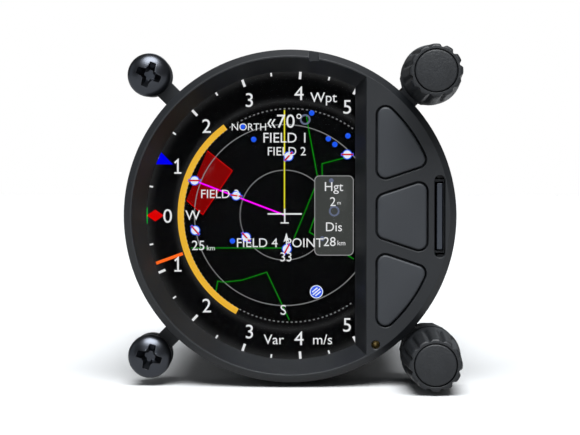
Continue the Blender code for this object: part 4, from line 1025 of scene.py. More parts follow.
# %% Cut the pockets, holes and screw seats behind the face
socket_low, socket_high = box_mm("card_socket")
room_low = (socket_low.x - CLEAR, PLATE_BACK + 0.1, socket_low.z - CLEAR)
room_high = (socket_high.x + CLEAR, SPIGOT_BACK + 0.5, socket_high.z + CLEAR)
cut(front_frame, block(room_low, room_high))
cut(front_frame, plates([circle(SENSOR_PLACE, 1.4, 40)], PLATE_BACK - 0.4, panel_high.y + 2.7))
cut(front_frame, plates(ear_holes, PANEL_BACK - 0.5, FLANGE_BACK + 0.5))

TUBE_SCREW_ANGLES = (93.0, 183.0, 273.0)
TUBE_SCREW_HOLE = 1.5


def radial_rods(radius, inner, outer, along):
    """Rods that point away from the axis, one at each tube screw."""
    bm = bmesh.new()
    for degrees in TUBE_SCREW_ANGLES:
        rod = lathe([(0.0, inner), (radius, inner), (radius, outer), (0.0, outer)], 32)
        turn = Matrix.Rotation(-math.radians(degrees), 4, "Y") @ Matrix.Rotation(-math.pi / 2, 4, "Z")
        bmesh.ops.transform(rod, matrix=Matrix.Translation((0.0, along, 0.0)) @ turn, verts=rod.verts)
        part = bpy.data.meshes.new("rod")
        rod.to_mesh(part)
        rod.free()
        bm.from_mesh(part)
        bpy.data.meshes.remove(part)
    return bm


FRONT_SCREWS = SPIGOT_BACK - 1.7
cut(front_frame, radial_rods(TUBE_SCREW_HOLE, INNER_RADIUS - 0.5, SPIGOT_RADIUS + 0.5, FRONT_SCREWS))
even_out(front_frame, 30.0)
settle(front_frame, "instrument", BEZEL, ["front_frame"])

# %% [markdown]
# ### Button caps
# A cap stands a third of a millimetre proud. Its edge rolls over in a quarter of an ellipse and
# its face is very slightly crowned, so that light fades across it. Behind the plate it widens to
# a lip, and a stem reaches back to the switch.

# %% Make the caps
BUTTON_PROUD = 0.35
BUTTON_ROLL = 0.34
BUTTON_CROWN = 0.10
STEMS = {"upper": (17.6, 11.6), "middle": (18.6, 0.0), "lower": (17.6, -11.6)}


def shrunk(outline, middle, share):
    """An outline drawn in towards a point."""
    return [(middle[0] + (x - middle[0]) * share, middle[1] + (z - middle[1]) * share) for x, z in outline]


for which in BUTTONS:
    cap_low, cap_high = box_mm(f"{which}_button")
    cap_front = FACE - BUTTON_PROUD
    middle = STEMS[which]
    levels = []
    inner = button_outline(which, -CLEAR / 2 - BUTTON_ROLL)
    for share, sink in ((0.02, 0.0), (0.35, 0.012), (0.65, 0.04), (0.9, 0.08)):
        levels.append((cap_front + sink * BUTTON_CROWN / 0.1, shrunk(inner, middle, share)))
    for step in range(7):
        turn = math.pi / 2 * step / 6
        offset = -CLEAR / 2 - BUTTON_ROLL * (1 - math.sin(turn))
        sink = BUTTON_CROWN + (BUTTON_ROLL - BUTTON_CROWN) * (1 - math.cos(turn))
        levels.append((cap_front + sink, button_outline(which, offset)))
    levels.append((PLATE_BACK + 0.5, button_outline(which, -CLEAR / 2)))
    cap = as_object(f"{which}_cap", loft(levels), sharp=60.0)
    cut(cap, plates([button_outline(which, 0.55)], PLATE_BACK + CLEAR, PLATE_BACK + CLEAR + 0.8), "UNION")
    cut(cap, plates([circle(middle, 1.5, 40)], PLATE_BACK + 0.7, cap_high.y), "UNION")
    even_out(cap, 50.0)
    settle(cap, f"{which}_key", BUTTON, [f"{which}_button"])

# %% [markdown]
# ## Display
# Behind the window lies a small liquid crystal panel that shows a moving map inside a climb-rate
# dial. A lit panel is a light source, so its picture is made of thin shapes that glow, each
# colour on its own level a hundredth of a millimetre above the last. The panel's own columns of
# coloured cells show as a very fine striping, which one shared group puts over every colour.

# %% Cell columns group
COLUMNS = bpy.data.node_groups.new("cell_columns", "ShaderNodeTree")
COLUMNS.interface.new_socket(name="Colour", in_out="INPUT", socket_type="NodeSocketColor")
COLUMNS.interface.new_socket(name="Columns per metre", in_out="INPUT", socket_type="NodeSocketFloat")
COLUMNS.interface.new_socket(name="Glow", in_out="OUTPUT", socket_type="NodeSocketColor")
source = COLUMNS.nodes.new("NodeGroupInput")
result = COLUMNS.nodes.new("NodeGroupOutput")
place = COLUMNS.nodes.new("ShaderNodeTexCoord").outputs["Object"]
parts = COLUMNS.nodes.new("ShaderNodeSeparateXYZ")
COLUMNS.links.new(place, parts.inputs["Vector"])
stripes = maths(COLUMNS, "MULTIPLY", parts.outputs["X"], source.outputs["Columns per metre"])
stripes = maths(COLUMNS, "SINE", stripes)
rows = maths(COLUMNS, "MULTIPLY", parts.outputs["Z"], source.outputs["Columns per metre"])
rows = maths(COLUMNS, "SINE", maths(COLUMNS, "MULTIPLY", rows, 0.3333))
stripes = maths(COLUMNS, "MULTIPLY", stripes, 0.10)
rows = maths(COLUMNS, "MULTIPLY", rows, 0.05)
both = maths(COLUMNS, "ADD", stripes, rows)
dimmed = maths(COLUMNS, "ADD", both, 0.88)
scaled = COLUMNS.nodes.new("ShaderNodeVectorMath")
scaled.operation = "SCALE"
COLUMNS.links.new(source.outputs["Colour"], scaled.inputs[0])
COLUMNS.links.new(dimmed, scaled.inputs["Scale"])
COLUMNS.links.new(scaled.outputs["Vector"], result.inputs["Glow"])
CELL_PITCH = 0.153
COLUMN_RATE = 2 * math.pi * 3 / (CELL_PITCH * MM)
print("group", COLUMNS.name)

# %% Glowing colours
def glow(name, red, green, blue):
    """A material for one colour of the picture; the colour is given as the eye reads it, 0 to 255."""
    made = bpy.data.materials.new(name)
    made.use_nodes = True
    linear = [((c / 255 + 0.055) / 1.055) ** 2.4 if c > 10 else c / 255 / 12.92 for c in (red, green, blue)]
    made.diffuse_color = (*linear, 1.0)
    tree = made.node_tree
    shader = tree.nodes["Principled BSDF"]
    shader.inputs["Base Color"].default_value = (0.001, 0.001, 0.001, 1.0)
    shader.inputs["Roughness"].default_value = 0.35
    shader.inputs["Specular IOR Level"].default_value = 0.03
    shader.inputs["Emission Strength"].default_value = 1.15
    cells = tree.nodes.new("ShaderNodeGroup")
    cells.node_tree = COLUMNS
    cells.inputs["Colour"].default_value = (*linear, 1.0)
    cells.inputs["Columns per metre"].default_value = COLUMN_RATE
    tree.links.new(cells.outputs["Glow"], shader.inputs["Emission Color"])
    return made


INKS = {
    # painted highlight: glowing grey where the window glass edge catches the light
    "glass_edge_glint": (42, 44, 38),
    "airspace_red": (124, 2, 2),
    "range_grey": (128, 128, 128),
    "track_green": (0, 148, 0),
    "route_magenta": (255, 0, 255),
    "heading_yellow": (226, 216, 40),
    "lift_amber": (232, 178, 52),
    "field_blue": (28, 86, 232),
    "field_blue_top": (28, 86, 232),
    "field_white": (225, 232, 245),
    "field_mark_red": (200, 30, 40),
    "note_grey": (62, 64, 62),
    "note_dim": (96, 104, 128),
    "note_rim": (150, 150, 150),
    "pointer_red": (214, 0, 0),
    "needle_orange": (255, 104, 30),
    "scale_green": (0, 190, 60),
    "text_white": (226, 226, 226),
    "aim_blue": (0, 0, 236),
}
LEVEL = 0.012
picture = {ink: bmesh.new() for ink in INKS}
heights = {ink: panel_low.y - LEVEL * (order + 1) for order, ink in enumerate(INKS)}
print(f"{len(INKS)} colours, {LEVEL * len(INKS):.2f} mm deep in all")

# %% [markdown]
# ### Drawing tools
# The picture needs four marks: a filled shape, a stroke of one width along a line, a ring or part
# of one, and a word. Strokes turn their corners on the half angle, so a bend keeps its width.

# %% Marks
def fill(ink, outline):
    """A filled shape of one colour."""
    shape = picture[ink]
    shape.faces.new([shape.verts.new((x, heights[ink], z)) for x, z in outline])


def stroke(ink, points, width, closed=False):
    """A line of one width through some points."""
    shape = picture[ink]
    line = [Vector(point) for point in points]
    pairs = []
    for index, point in enumerate(line):
        before = line[index - 1] if index or closed else None
        after = line[(index + 1) % len(line)] if index + 1 < len(line) or closed else None
        into = (point - before).normalized() if before is not None else (after - point).normalized()
        out = (after - point).normalized() if after is not None else into
        along = (into + out).normalized()
        side = Vector((-along.y, along.x))
        widen = 1.0 / max(0.4, side.dot(Vector((-out.y, out.x))))
        step = side * width / 2 * widen
        pairs.append([shape.verts.new((p.x, heights[ink], p.y)) for p in (point + step, point - step)])
    following = pairs[1:] + pairs[:1] if closed else pairs[1:]
    for near, far in zip(pairs, following):
        shape.faces.new((near[0], far[0], far[1], near[1]))


def polar(radius, degrees):
    """A point on the dial; the dial's zero is at the left, and climb counts upwards from it."""
    angle = math.pi - math.radians(degrees)
    return radius * math.cos(angle), radius * math.sin(angle)


def word(ink, text, centre, height):
    """A word, centred on a point, whose capitals are height tall."""
    curve = bpy.data.curves.new("word", "FONT")
    curve.body = text
    curve.size = height / 0.73
    curve.resolution_u = 4
    made = bpy.data.objects.new("word", curve)
    bpy.context.scene.collection.objects.link(made)
    bpy.context.view_layer.update()
    letters = bpy.data.meshes.new_from_object(made)
    xs = [v.co.x for v in letters.vertices]
    shift = (centre[0] - (min(xs) + max(xs)) / 2, centre[1] - height / 2)
    for vertex in letters.vertices:
        vertex.co = (vertex.co.x + shift[0], heights[ink], vertex.co.y + shift[1])
    picture[ink].from_mesh(letters)
    bpy.data.objects.remove(made)
    bpy.data.curves.remove(curve)
    bpy.data.meshes.remove(letters)


def figure_one(ink, centre, height):
    """The figure one with a flag and a foot, which the plain typeface lacks."""
    x, z = centre
    half = height / 2
    stroke(ink, [(x - 0.52, z + half - 0.62), (x + 0.02, z + half - 0.14), (x + 0.02, z - half + 0.1)], 0.30)
    stroke(ink, [(x - 0.58, z - half + 0.14), (x + 0.62, z - half + 0.14)], 0.28)


print("marks: fill, stroke, word")

# %% [markdown]
# ### The dial
# Climb and sink run round the left of the dial, 23.5 degrees to one metre a second. A blue mark
# is the speed aimed for, a red diamond the average, the orange pointer the present value, and the
# amber arc how strong the last climb was.

# %% Scale, numbers and pointers
UNIT = 23.5
NUMBER_RADIUS = 20.75
TICK_OUTER = 24.3
TICK_INNER = 23.05
DOT_INNER = 23.7

for half_units in range(-10, 11):
    angle = half_units * UNIT / 2
    if half_units % 2:
        stroke("text_white", [polar(DOT_INNER, angle), polar(TICK_OUTER, angle)], 0.28)
    elif abs(half_units) > 1 or half_units == -2:
        stroke("text_white", [polar(TICK_INNER, angle), polar(TICK_OUTER, angle)], 0.42)
    if half_units % 2 == 0:
        number = str(abs(half_units // 2))
        place = polar(NUMBER_RADIUS, angle)
        if number == "1":
            figure_one("text_white", place, 2.45)
        else:
            word("text_white", number, place, 2.45)

# Painted highlight: a faint glowing grey arc on the display, where the edge of the window glass catches the
# light.
glint_angles = [math.radians(degrees) for degrees in range(68, 293, 2)]
stroke("glass_edge_glint", [(24.42 * math.cos(a), 24.42 * math.sin(a)) for a in glint_angles], 0.16)

stroke("scale_green", [(-TICK_OUTER, -1.35), (-TICK_OUTER, 1.35)], 0.28)
diamond = ((-24.3, 0.0), (-22.85, 1.0), (-21.4, 0.0), (-22.85, -1.0))
fill("pointer_red", diamond)
fill("aim_blue", [polar(24.3, UNIT - 2.6), polar(24.3, UNIT + 2.6), polar(21.6, UNIT)])
stroke("needle_orange", [polar(19.3, -19.5), polar(24.1, -19.6)], 0.52)

AMBER_RADIUS = 18.55
amber_line = [polar(AMBER_RADIUS, -61.0 + 114.7 * step / 90) for step in range(91)]
stroke("lift_amber", amber_line, 1.05)
print(f"dial from -5 to 5, number radius {NUMBER_RADIUS} mm")

# %% [markdown]
# ### The map
# Round the aircraft are two range rings. The yellow line is its heading, the magenta line the way
# to the next point, and green lines bound airspace. Airfields are blue discs with their runway
# across them. Their names are plain numbers.

# %% Rings, lines and airspace
MAP_CENTRE = (-0.92, 0.06)
for ring_radius in (15.3, 7.6):
    stroke("range_grey", circle(MAP_CENTRE, ring_radius, 120), 0.15, closed=True)
BORDER_RADIUS = 18.05
BORDER_DOTS = 150
for dot in range(BORDER_DOTS):
    start = 360.0 * dot / BORDER_DOTS
    points = [polar(BORDER_RADIUS, start), polar(BORDER_RADIUS, start + 150.0 / BORDER_DOTS)]
    if points[0][0] < VIEW_LIMIT:
        stroke("range_grey", points, 0.20)

fill("airspace_red", ((-14.0, 11.0), (-17.6, 2.6), (-14.8, 0.1), (-9.7, 7.6)))
stroke("pointer_red", ((-17.5, 2.55), (-14.8, 0.15), (-9.8, 7.55), (-14.0, 10.9)), 0.12)
AIRSPACE_LINES = (
    ((2.7, 16.9), (3.0, 15.0), (4.55, 6.7), (4.2, 4.9), (0.6, -3.9)),
    ((9.35, 9.8), (5.35, 8.75), (5.4, 3.35), (3.2, -2.8), (10.7, -7.35)),
    ((-16.8, -5.5), (-1.35, -5.5)),
    ((-12.6, -12.8), (-12.3, -11.1), (-11.3, -11.3), (-8.2, -10.95), (-4.0, -9.6), (-0.2, -17.65)),
)
for line in AIRSPACE_LINES:
    stroke("track_green", line, 0.13)
stroke("route_magenta", [(-16.0, 5.8), (-0.96, 0.07)], 0.26)
stroke("heading_yellow", [(-1.0, 17.8), (-1.0, 0.5)], 0.22)
print(f"{len(AIRSPACE_LINES)} airspace lines")

# %% Airfields, waypoints and the aircraft
AIRFIELDS = (
    (-16.2, 5.9), (-9.15, 3.35), (-0.3, 10.0), (9.6, 10.3), (-16.1, -2.5), (-7.5, -3.65), (-0.6, -5.65),
)
LARGE_FIELD = (4.4, -12.9)
FAINT_FIELDS = ((2.5, 16.2), (7.4, 0.75))
WAYPOINTS = ((-8.1, 15.0), (-6.2, 12.85), (6.4, 12.95), (7.5, 12.0), (9.7, 13.45), (-9.8, -4.3), (3.6, 17.3))
FAINT_WAYPOINTS = ((6.9, 5.9), (5.4, -3.9))
RUNWAYS = (0.0, -8.0, 48.0, 0.0, -48.0, -48.0, 62.0)


def runway(ink, centre, degrees, length, width, aside=0.0):
    """A short bar across an airfield's disc, turned by its runway's direction."""
    along = Vector((math.cos(math.radians(degrees)), math.sin(math.radians(degrees))))
    middle = Vector(centre) + Vector((-along.y, along.x)) * aside
    stroke(ink, [middle - along * length / 2, middle + along * length / 2], width)


for field, degrees in zip(AIRFIELDS, RUNWAYS):
    fill("field_blue", circle(field, 0.84, 28))
    runway("field_blue_top", field, degrees, 2.15, 0.50)
    fill("field_white", circle(field, 0.68, 28))
    runway("field_mark_red", field, degrees, 1.95, 0.28)
fill("field_blue", circle(LARGE_FIELD, 1.05, 32))
stroke("field_white", circle(LARGE_FIELD, 1.05, 40), 0.14, closed=True)
for aside in (-0.42, 0.0, 0.42):
    runway("field_white", LARGE_FIELD, 40.0, 1.6 - abs(aside), 0.22, aside)
for field in FAINT_FIELDS:
    stroke("note_dim", circle(field, 0.75, 28), 0.3, closed=True)
for point in WAYPOINTS:
    fill("field_blue", circle(point, 0.46, 20))
for point in FAINT_WAYPOINTS:
    fill("note_dim", circle(point, 0.40, 20))

stroke("text_white", [(-3.85, 0.27), (1.92, 0.27)], 0.26)
stroke("text_white", [(-0.96, 1.15), (-0.96, -1.25)], 0.24)
stroke("text_white", [(-1.65, -1.25), (-0.27, -1.25)], 0.22)
fill("text_white", ((-0.67, -2.9), (-1.15, -4.5), (-0.67, -4.15), (-0.2, -4.5)))
print(f"{len(AIRFIELDS) + 1} airfields, {len(WAYPOINTS)} waypoints")

# %% [markdown]
# ### Words and the note
# The labels say what the dial counts, and the note beside the map gives height and distance. Only
# units, compass letters and plain words are used.

# %% Words
WORDS = (
    ("Wpt", (5.6, 20.0), 1.75), ("Var", (-2.8, -20.9), 1.75), ("m/s", (5.45, -20.9), 1.75),
    ("«70°", (-1.0, 16.0), 2.35), ("W", (-16.5, 0.1), 1.75), ("S", (-1.2, -15.9), 1.75),
    ("33", (-0.75, -6.95), 1.6), ("25", (-15.6, -5.0), 1.7),
    ("km", (-13.45, -5.45), 0.85), ("FIELD 1", (-1.0, 13.2), 1.75),
    ("FIELD 2", (-0.6, 10.9), 1.5), ("FIELD 3", (-11.9, 3.7), 1.5),
    ("FIELD 4", (-5.6, -4.55), 1.6), ("POINT", (2.4, -4.55), 1.6), ("NORTH", (-7.0, 15.0), 1.25),
)
for text, centre, tall in WORDS:
    word("text_white", text, centre, tall)

NOTE = (7.37, 0.0, 6.5, 13.4)
fill("note_grey", rectangle(NOTE[:2], NOTE[2], NOTE[3], corner=0.8, steps=8))
stroke("note_rim", rectangle(NOTE[:2], NOTE[2], NOTE[3], corner=0.8, steps=8), 0.13, closed=True)
NOTE_LINES = (
    ("Hgt", 0.0, 4.95, 1.6), ("2", -0.2, 2.4, 1.6), ("m", 0.85, 2.2, 0.65),
    ("Dis", 0.0, -1.85, 1.6), ("28", -0.75, -4.35, 1.6), ("km", 1.25, -4.6, 0.85),
)
for text, aside, level, tall in NOTE_LINES:
    word("text_white", text, (NOTE[0] + aside, level), tall)

# %% Make the picture's pieces
for ink, colour in INKS.items():
    shape = as_object(f"screen_{ink}", picture[ink], sharp=30.0)
    solid = shape.modifiers.new("thickness", "SOLIDIFY")
    solid.thickness = LEVEL * 0.5 * MM
    solid.offset = 0.0
    bake_modifiers(shape)
    settle(shape, "instrument", glow(f"screen_{ink}", *colour))

# %% [markdown]
# ## Knobs
# Each knob is a slim cone with twelve finger flutes, a plain skirt at its foot and a thin groove
# round a slightly domed cap. A flute is a shallow cosine dip in the radius, and it fades in above
# the skirt, so the whole grip can be drawn as rings whose radius changes with the angle.

# %% Grip
KNOB_BASE = 5.0
KNOB_TOP = 4.3
KNOB_SKIRT = 1.9
KNOB_ROLL = 0.45
FLUTES = 12
FLUTE_DEPTH = 0.46
FLUTE_SHARE = 0.56
FLUTE_FADE = 2.2
CAP_RADIUS = 3.42
CAP_GROOVE = 0.11
BORE = 2.95
knob_back = knob_high.y
knob_front = knob_low.y


def flute_dip(turn):
    """How deep a flute is, from 0 to 1, at one place round the knob."""
    within = (turn * FLUTES / (2 * math.pi)) % 1.0
    across = abs(within - 0.5) / (FLUTE_SHARE / 2)
    return 0.0 if across >= 1.0 else 0.5 * (1 + math.cos(math.pi * across))


def grip_ring(bm, y, radius, depth):
    """One ring of the grip."""
    ring_points = []
    for k in range(KNOB_SEGMENTS):
        turn = 2 * math.pi * k / KNOB_SEGMENTS
        reach = radius - depth * flute_dip(turn)
        ring_points.append(bm.verts.new((reach * math.cos(turn), y, reach * math.sin(turn))))
    return ring_points


def grip_solid():
    """The fluted outside, rolled front edge, cap groove and bore, as one closed solid."""
    bm = bmesh.new()
    length = knob_back - knob_front
    levels = [(knob_back, KNOB_BASE - 0.15, 0.0), (knob_back - 0.12, KNOB_BASE, 0.0)]
    steps = 26
    for step in range(steps + 1):
        y = knob_back - 0.3 - (length - 0.3 - KNOB_ROLL) * step / steps
        share = (knob_back - y) / length
        fade = min(max((knob_back - KNOB_SKIRT - y) / FLUTE_FADE, 0.0), 1.0)
        depth = FLUTE_DEPTH * fade * fade * (3 - 2 * fade)
        levels.append((y, KNOB_BASE + (KNOB_TOP - KNOB_BASE) * share, depth))
    for step in range(1, 8):
        turn = math.pi / 2 * step / 7
        y = knob_front + KNOB_ROLL * (1 - math.sin(turn))
        radius = KNOB_TOP - KNOB_ROLL * (1 - math.cos(turn))
        levels.append((y, radius, FLUTE_DEPTH * math.cos(turn)))
    rings = [grip_ring(bm, *level) for level in levels]
    groove = CAP_RADIUS + CAP_GROOVE
    inside = ((knob_front, groove + 0.06), (knob_front + 0.06, groove), (knob_front + 1.3, groove),
              (knob_front + 1.3, BORE), (knob_back, BORE))
    rings += [grip_ring(bm, y, radius, 0.0) for y, radius in inside]
    for near, far in zip(rings, rings[1:] + rings[:1]):
        for k in range(KNOB_SEGMENTS):
            after = (k + 1) % KNOB_SEGMENTS
            bm.faces.new((near[k], far[k], far[after], near[after]))
    return bm


def stand(piece, x, z):
    """Moves a piece drawn round the middle axis to its own axis."""
    piece.location = (x * MM, 0.0, z * MM)
    return piece


KNOBS = {"upper": PITCH, "lower": -PITCH}
for which, height in KNOBS.items():
    grip = stand(as_object(f"{which}_grip", grip_solid(), sharp=42.0), PITCH, height)
    settle(grip, f"{which}_knob", KNOB, [f"{which}_knob_grip"])

# %% [markdown]
# ### Cap
# The cap snaps into the grip's front. Its face is a shallow dome with a rolled edge, which holds
# one soft streak of light, and a plug behind it fills the bore's mouth.

# %% Make the caps
CAP_EDGE = 0.32
CAP_CROWN = 0.16
cap_low, cap_high = box_mm("upper_knob_cap")
cap_profile = []
for step in range(9):
    share = step / 8
    cap_profile.append((max(0.0, (CAP_RADIUS - CAP_EDGE) * share), cap_low.y + CAP_CROWN * share ** 2))
for step in range(1, 8):
    turn = math.pi / 2 * step / 7
    reach = CAP_RADIUS - CAP_EDGE * (1 - math.sin(turn))
    cap_profile.append((reach, cap_low.y + CAP_CROWN + CAP_EDGE * (1 - math.cos(turn))))
cap_profile += [(CAP_RADIUS, cap_high.y - 0.9), (2.7, cap_high.y - 0.9), (2.7, cap_high.y), (0.0, cap_high.y)]

for which, height in KNOBS.items():
    cap = stand(as_object(f"{which}_grip_cap", lathe(cap_profile, 120), sharp=48.0), PITCH, height)
    settle(cap, f"{which}_knob", KNOB, [f"{which}_knob_cap"])

# %% [markdown]
# ## Panel screws
# Two pan-head machine screws hold the left side. The head is a flattened dome over a short
# straight land. The cross recess is pressed in by a punch that tapers inwards, and its arms meet
# in little hollow corners. A ring of fine waves in the thread's radius gives the thread, which is
# a true helix when the wave is shifted as it goes round.

# %% Head and recess
SCREW_HEAD = 3.65
SCREW_LAND = 0.7
SCREW_STEM = 1.95
CROSS_REACH = 2.12
CROSS_WIDTH = 1.14
CROSS_DEPTH = 2.3
SCREW_TURNS = {"upper": math.radians(-22.0), "lower": math.radians(-17.0)}
screw_low, screw_high = box_mm("upper_mounting_screw")
SCREW_HEAD_HEIGHT = 2.6
panel_front = screw_low.y + SCREW_HEAD_HEIGHT
ARM_BEVEL = 0.12
HOLLOW_STEPS = 4
HOLLOW_REACH = 1.36
HOLLOW_DEPTH = 0.22
HOLLOW_SPAN = 0.42


def cross_outline(reach, width):
    """Four arms with bevelled square ends and hollow corners between them."""
    half = width / 2
    root = half * 1.75
    quarter = [(reach - ARM_BEVEL, -half), (reach, -half + ARM_BEVEL),
               (reach, half - ARM_BEVEL), (reach - ARM_BEVEL, half), (root * 1.18, half * 1.02)]
    for step in range(1, HOLLOW_STEPS):
        turn = math.pi / 2 * step / HOLLOW_STEPS
        hollow = root * (HOLLOW_REACH - HOLLOW_DEPTH * math.sin(2 * turn))
        towards = math.pi / 4 + (turn - math.pi / 4) * HOLLOW_SPAN
        quarter.append((hollow * math.cos(towards), hollow * math.sin(towards)))
    points = []
    for arm in range(4):
        turn = Matrix.Rotation(arm * math.pi / 2, 2)
        points += [tuple(turn @ Vector(point)) for point in quarter]
    return points


def head_profile():
    """Half of the head and stem, from the crown back."""
    points = [(0.0, screw_low.y)]
    crown = panel_front - SCREW_LAND - screw_low.y
    for step in range(1, 15):
        turn = math.pi / 2 * step / 14
        points.append((SCREW_HEAD * math.sin(turn), screw_low.y + crown * (1 - math.cos(turn) ** 0.9)))
    points += [(SCREW_HEAD, panel_front - 0.08), (SCREW_HEAD - 0.08, panel_front), (SCREW_STEM, panel_front)]
    points += [(SCREW_STEM, panel_front + 0.9), (SCREW_STEM - 0.28, panel_front + 1.2)]
    points += [(SCREW_STEM - 0.28, screw_high.y - 0.3), (SCREW_STEM - 0.7, screw_high.y), (0.0, screw_high.y)]
    return points


def thread(radius, depth, start, end, pitch, segments=40, per_turn=10):
    """A helical thread as one closed tube of rings, whose crest moves along as it goes round."""
    bm = bmesh.new()
    count = int((end - start) / pitch * per_turn)
    rings = []
    for k in range(count + 1):
        y = start + (end - start) * k / count
        ring_points = []
        for s in range(segments):
            turn = 2 * math.pi * s / segments
            wave = 0.5 + 0.5 * math.cos(2 * math.pi * (y / pitch) - turn)
            edge = min(1.0, (y - start) / pitch, (end - y) / pitch)
            reach = radius - depth + depth * wave * max(0.0, edge)
            ring_points.append(bm.verts.new((reach * math.cos(turn), y, reach * math.sin(turn))))
        rings.append(ring_points)
    for near, far in zip(rings, rings[1:]):
        for s in range(segments):
            after = (s + 1) % segments
            bm.faces.new((near[s], far[s], far[after], near[after]))
    bm.faces.new(rings[0])
    bm.faces.new(list(reversed(rings[-1])))
    return bm


THREAD_PITCH = 0.7
for which, height in (("upper", PITCH), ("lower", -PITCH)):
    screw = as_object(f"{which}_panel_screw", lathe(head_profile(), 112), sharp=50.0)
    punch = []
    for sink, share, slim in ((-0.3, 1.04, 1.10), (0.42, 1.0, 1.0), (0.75, 0.86, 0.92),
                              (CROSS_DEPTH, 0.42, 0.55)):
        turn = Matrix.Rotation(SCREW_TURNS[which], 2)
        outline = cross_outline(CROSS_REACH * share, CROSS_WIDTH * slim)
        punch.append((screw_low.y + sink, [tuple(turn @ Vector(point)) for point in outline]))
    cut(screw, loft(punch))
    soften(screw, 0.045, steps=2, angle=50.0)
    cut(screw, thread(SCREW_STEM, 0.36, panel_front + 1.0, screw_high.y - 0.35, THREAD_PITCH), "UNION")
    even_out(screw, 50.0)
    stand(screw, -PITCH, height)
    settle(screw, "instrument", SCREW, [f"{which}_mounting_screw"])

# %% [markdown]
# ## Memory card and light sensor
# Only the card's edge shows until it is drawn out, and then its whole outline does: one corner is
# cut away, a small step marks the side that goes up, and eight gold contacts lie at its far end.
# Its body is moulded, so all its edges are slightly round.

# %% Card
CARD_NOTCH = 1.3
card_back = card_high.y
card_half = (card_high.z - card_low.z) / 2
outline = [
    (card_low.y, -card_half), (card_low.y, card_half), (card_low.y + 6.4, card_half),
    (card_low.y + 7.1, card_half - 0.7), (card_low.y + 8.0, card_half - 0.7), (card_low.y + 8.5, card_half),
    (card_back - CARD_NOTCH, card_half), (card_back, card_half - CARD_NOTCH), (card_back, -card_half),
]
bm = bmesh.new()
near = [bm.verts.new((card_low.x, y, z)) for y, z in outline]
far = [bm.verts.new((card_high.x, y, z)) for y, z in outline]
for k in range(len(outline)):
    after = (k + 1) % len(outline)
    bm.faces.new((near[k], far[k], far[after], near[after]))
bm.faces.new(near)
bm.faces.new(list(reversed(far)))
card = as_object("card_body", bm)
soften(card, 0.11, steps=3)
cut(card, block((card_high.x - 0.12, card_low.y + 0.45, -card_half + 0.6),
                (card_high.x + 0.2, card_low.y + 0.85, card_half - 0.6)))
settle(card, "card", CARD, ["memory_card"])

pads = bmesh.new()
PADS = 8
for number in range(PADS):
    z = (number - (PADS - 1) / 2) * 1.1
    corners = rectangle((card_back - 1.9, z), 2.6, 0.72, corner=0.12, steps=3)
    pads.faces.new([pads.verts.new((card_low.x - 0.012, y, z_at)) for y, z_at in corners])
pads_piece = as_object("card_contacts", pads)
solid = pads_piece.modifiers.new("thickness", "SOLIDIFY")
solid.thickness = 0.02 * MM
bake_modifiers(pads_piece)
settle(pads_piece, "card", GOLD)

# %% Light sensor
sensor_low, sensor_high = box_mm("light_sensor")
dome = [(0.0, sensor_low.y)]
for step in range(1, 10):
    turn = math.pi / 2 * step / 9
    dome.append((0.95 * math.sin(turn), sensor_low.y + 0.5 * (1 - math.cos(turn))))
dome += [(1.1, sensor_low.y + 0.6), (1.1, sensor_high.y), (0.0, sensor_high.y)]
sensor = as_object("sensor_lens", lathe(dome, 48, at=SENSOR_PLACE), sharp=40.0)
settle(sensor, "instrument", AMBER, ["light_sensor"])

# %% [markdown]
# ## Housing and rear cover
# The housing is a length of turned aluminium tube, blackened. Fine rings from the lathe run round
# it, a shallow waist near each end marks where it was gripped, and six small screws hold it to
# the castings at both ends. The rear cover is a casting with a rolled edge.

# %% Housing tube
TUBE_INNER = 27.0
TUBE_BEVEL = 0.22
GRIP_MARKS = (9.6, 9.85, 10.1)
GRIP_DEPTHS = (0.0, 0.16, 0.0)
marks = list(zip(GRIP_MARKS, GRIP_DEPTHS))
tube = [
    (TUBE_RADIUS - TUBE_BEVEL, tube_low.y), (TUBE_RADIUS, tube_low.y + TUBE_BEVEL),
    *((TUBE_RADIUS - depth, tube_low.y + along) for along, depth in marks),
    *((TUBE_RADIUS - depth, tube_high.y - along) for along, depth in reversed(marks)),
    (TUBE_RADIUS, tube_high.y - TUBE_BEVEL), (TUBE_RADIUS - TUBE_BEVEL, tube_high.y),
    (TUBE_INNER, tube_high.y), (TUBE_INNER, tube_low.y),
]
housing = as_object("housing", lathe(tube, SEGMENTS, closed=True), sharp=28.0)
REAR_SCREWS = tube_high.y - 3.4
for along in (FRONT_SCREWS, REAR_SCREWS):
    cut(housing, radial_rods(TUBE_SCREW_HOLE, TUBE_INNER - 0.5, TUBE_RADIUS + 0.5, along))
flex_low, flex_high = box_mm("upper_encoder_flex")
for height in (1, -1):
    middle = (flex_low.y + flex_high.y) / 2
    slot_box = block((25.5, middle - 0.5, -2.3), (TUBE_RADIUS + 1.0, middle + 0.5, 2.3))
    turn = Matrix.Rotation(-math.atan2(height, 1), 4, "Y")
    bmesh.ops.transform(slot_box, matrix=turn, verts=slot_box.verts)
    cut(housing, slot_box)
even_out(housing, 28.0)
settle(housing, "instrument", HOUSING, ["housing_tube"])

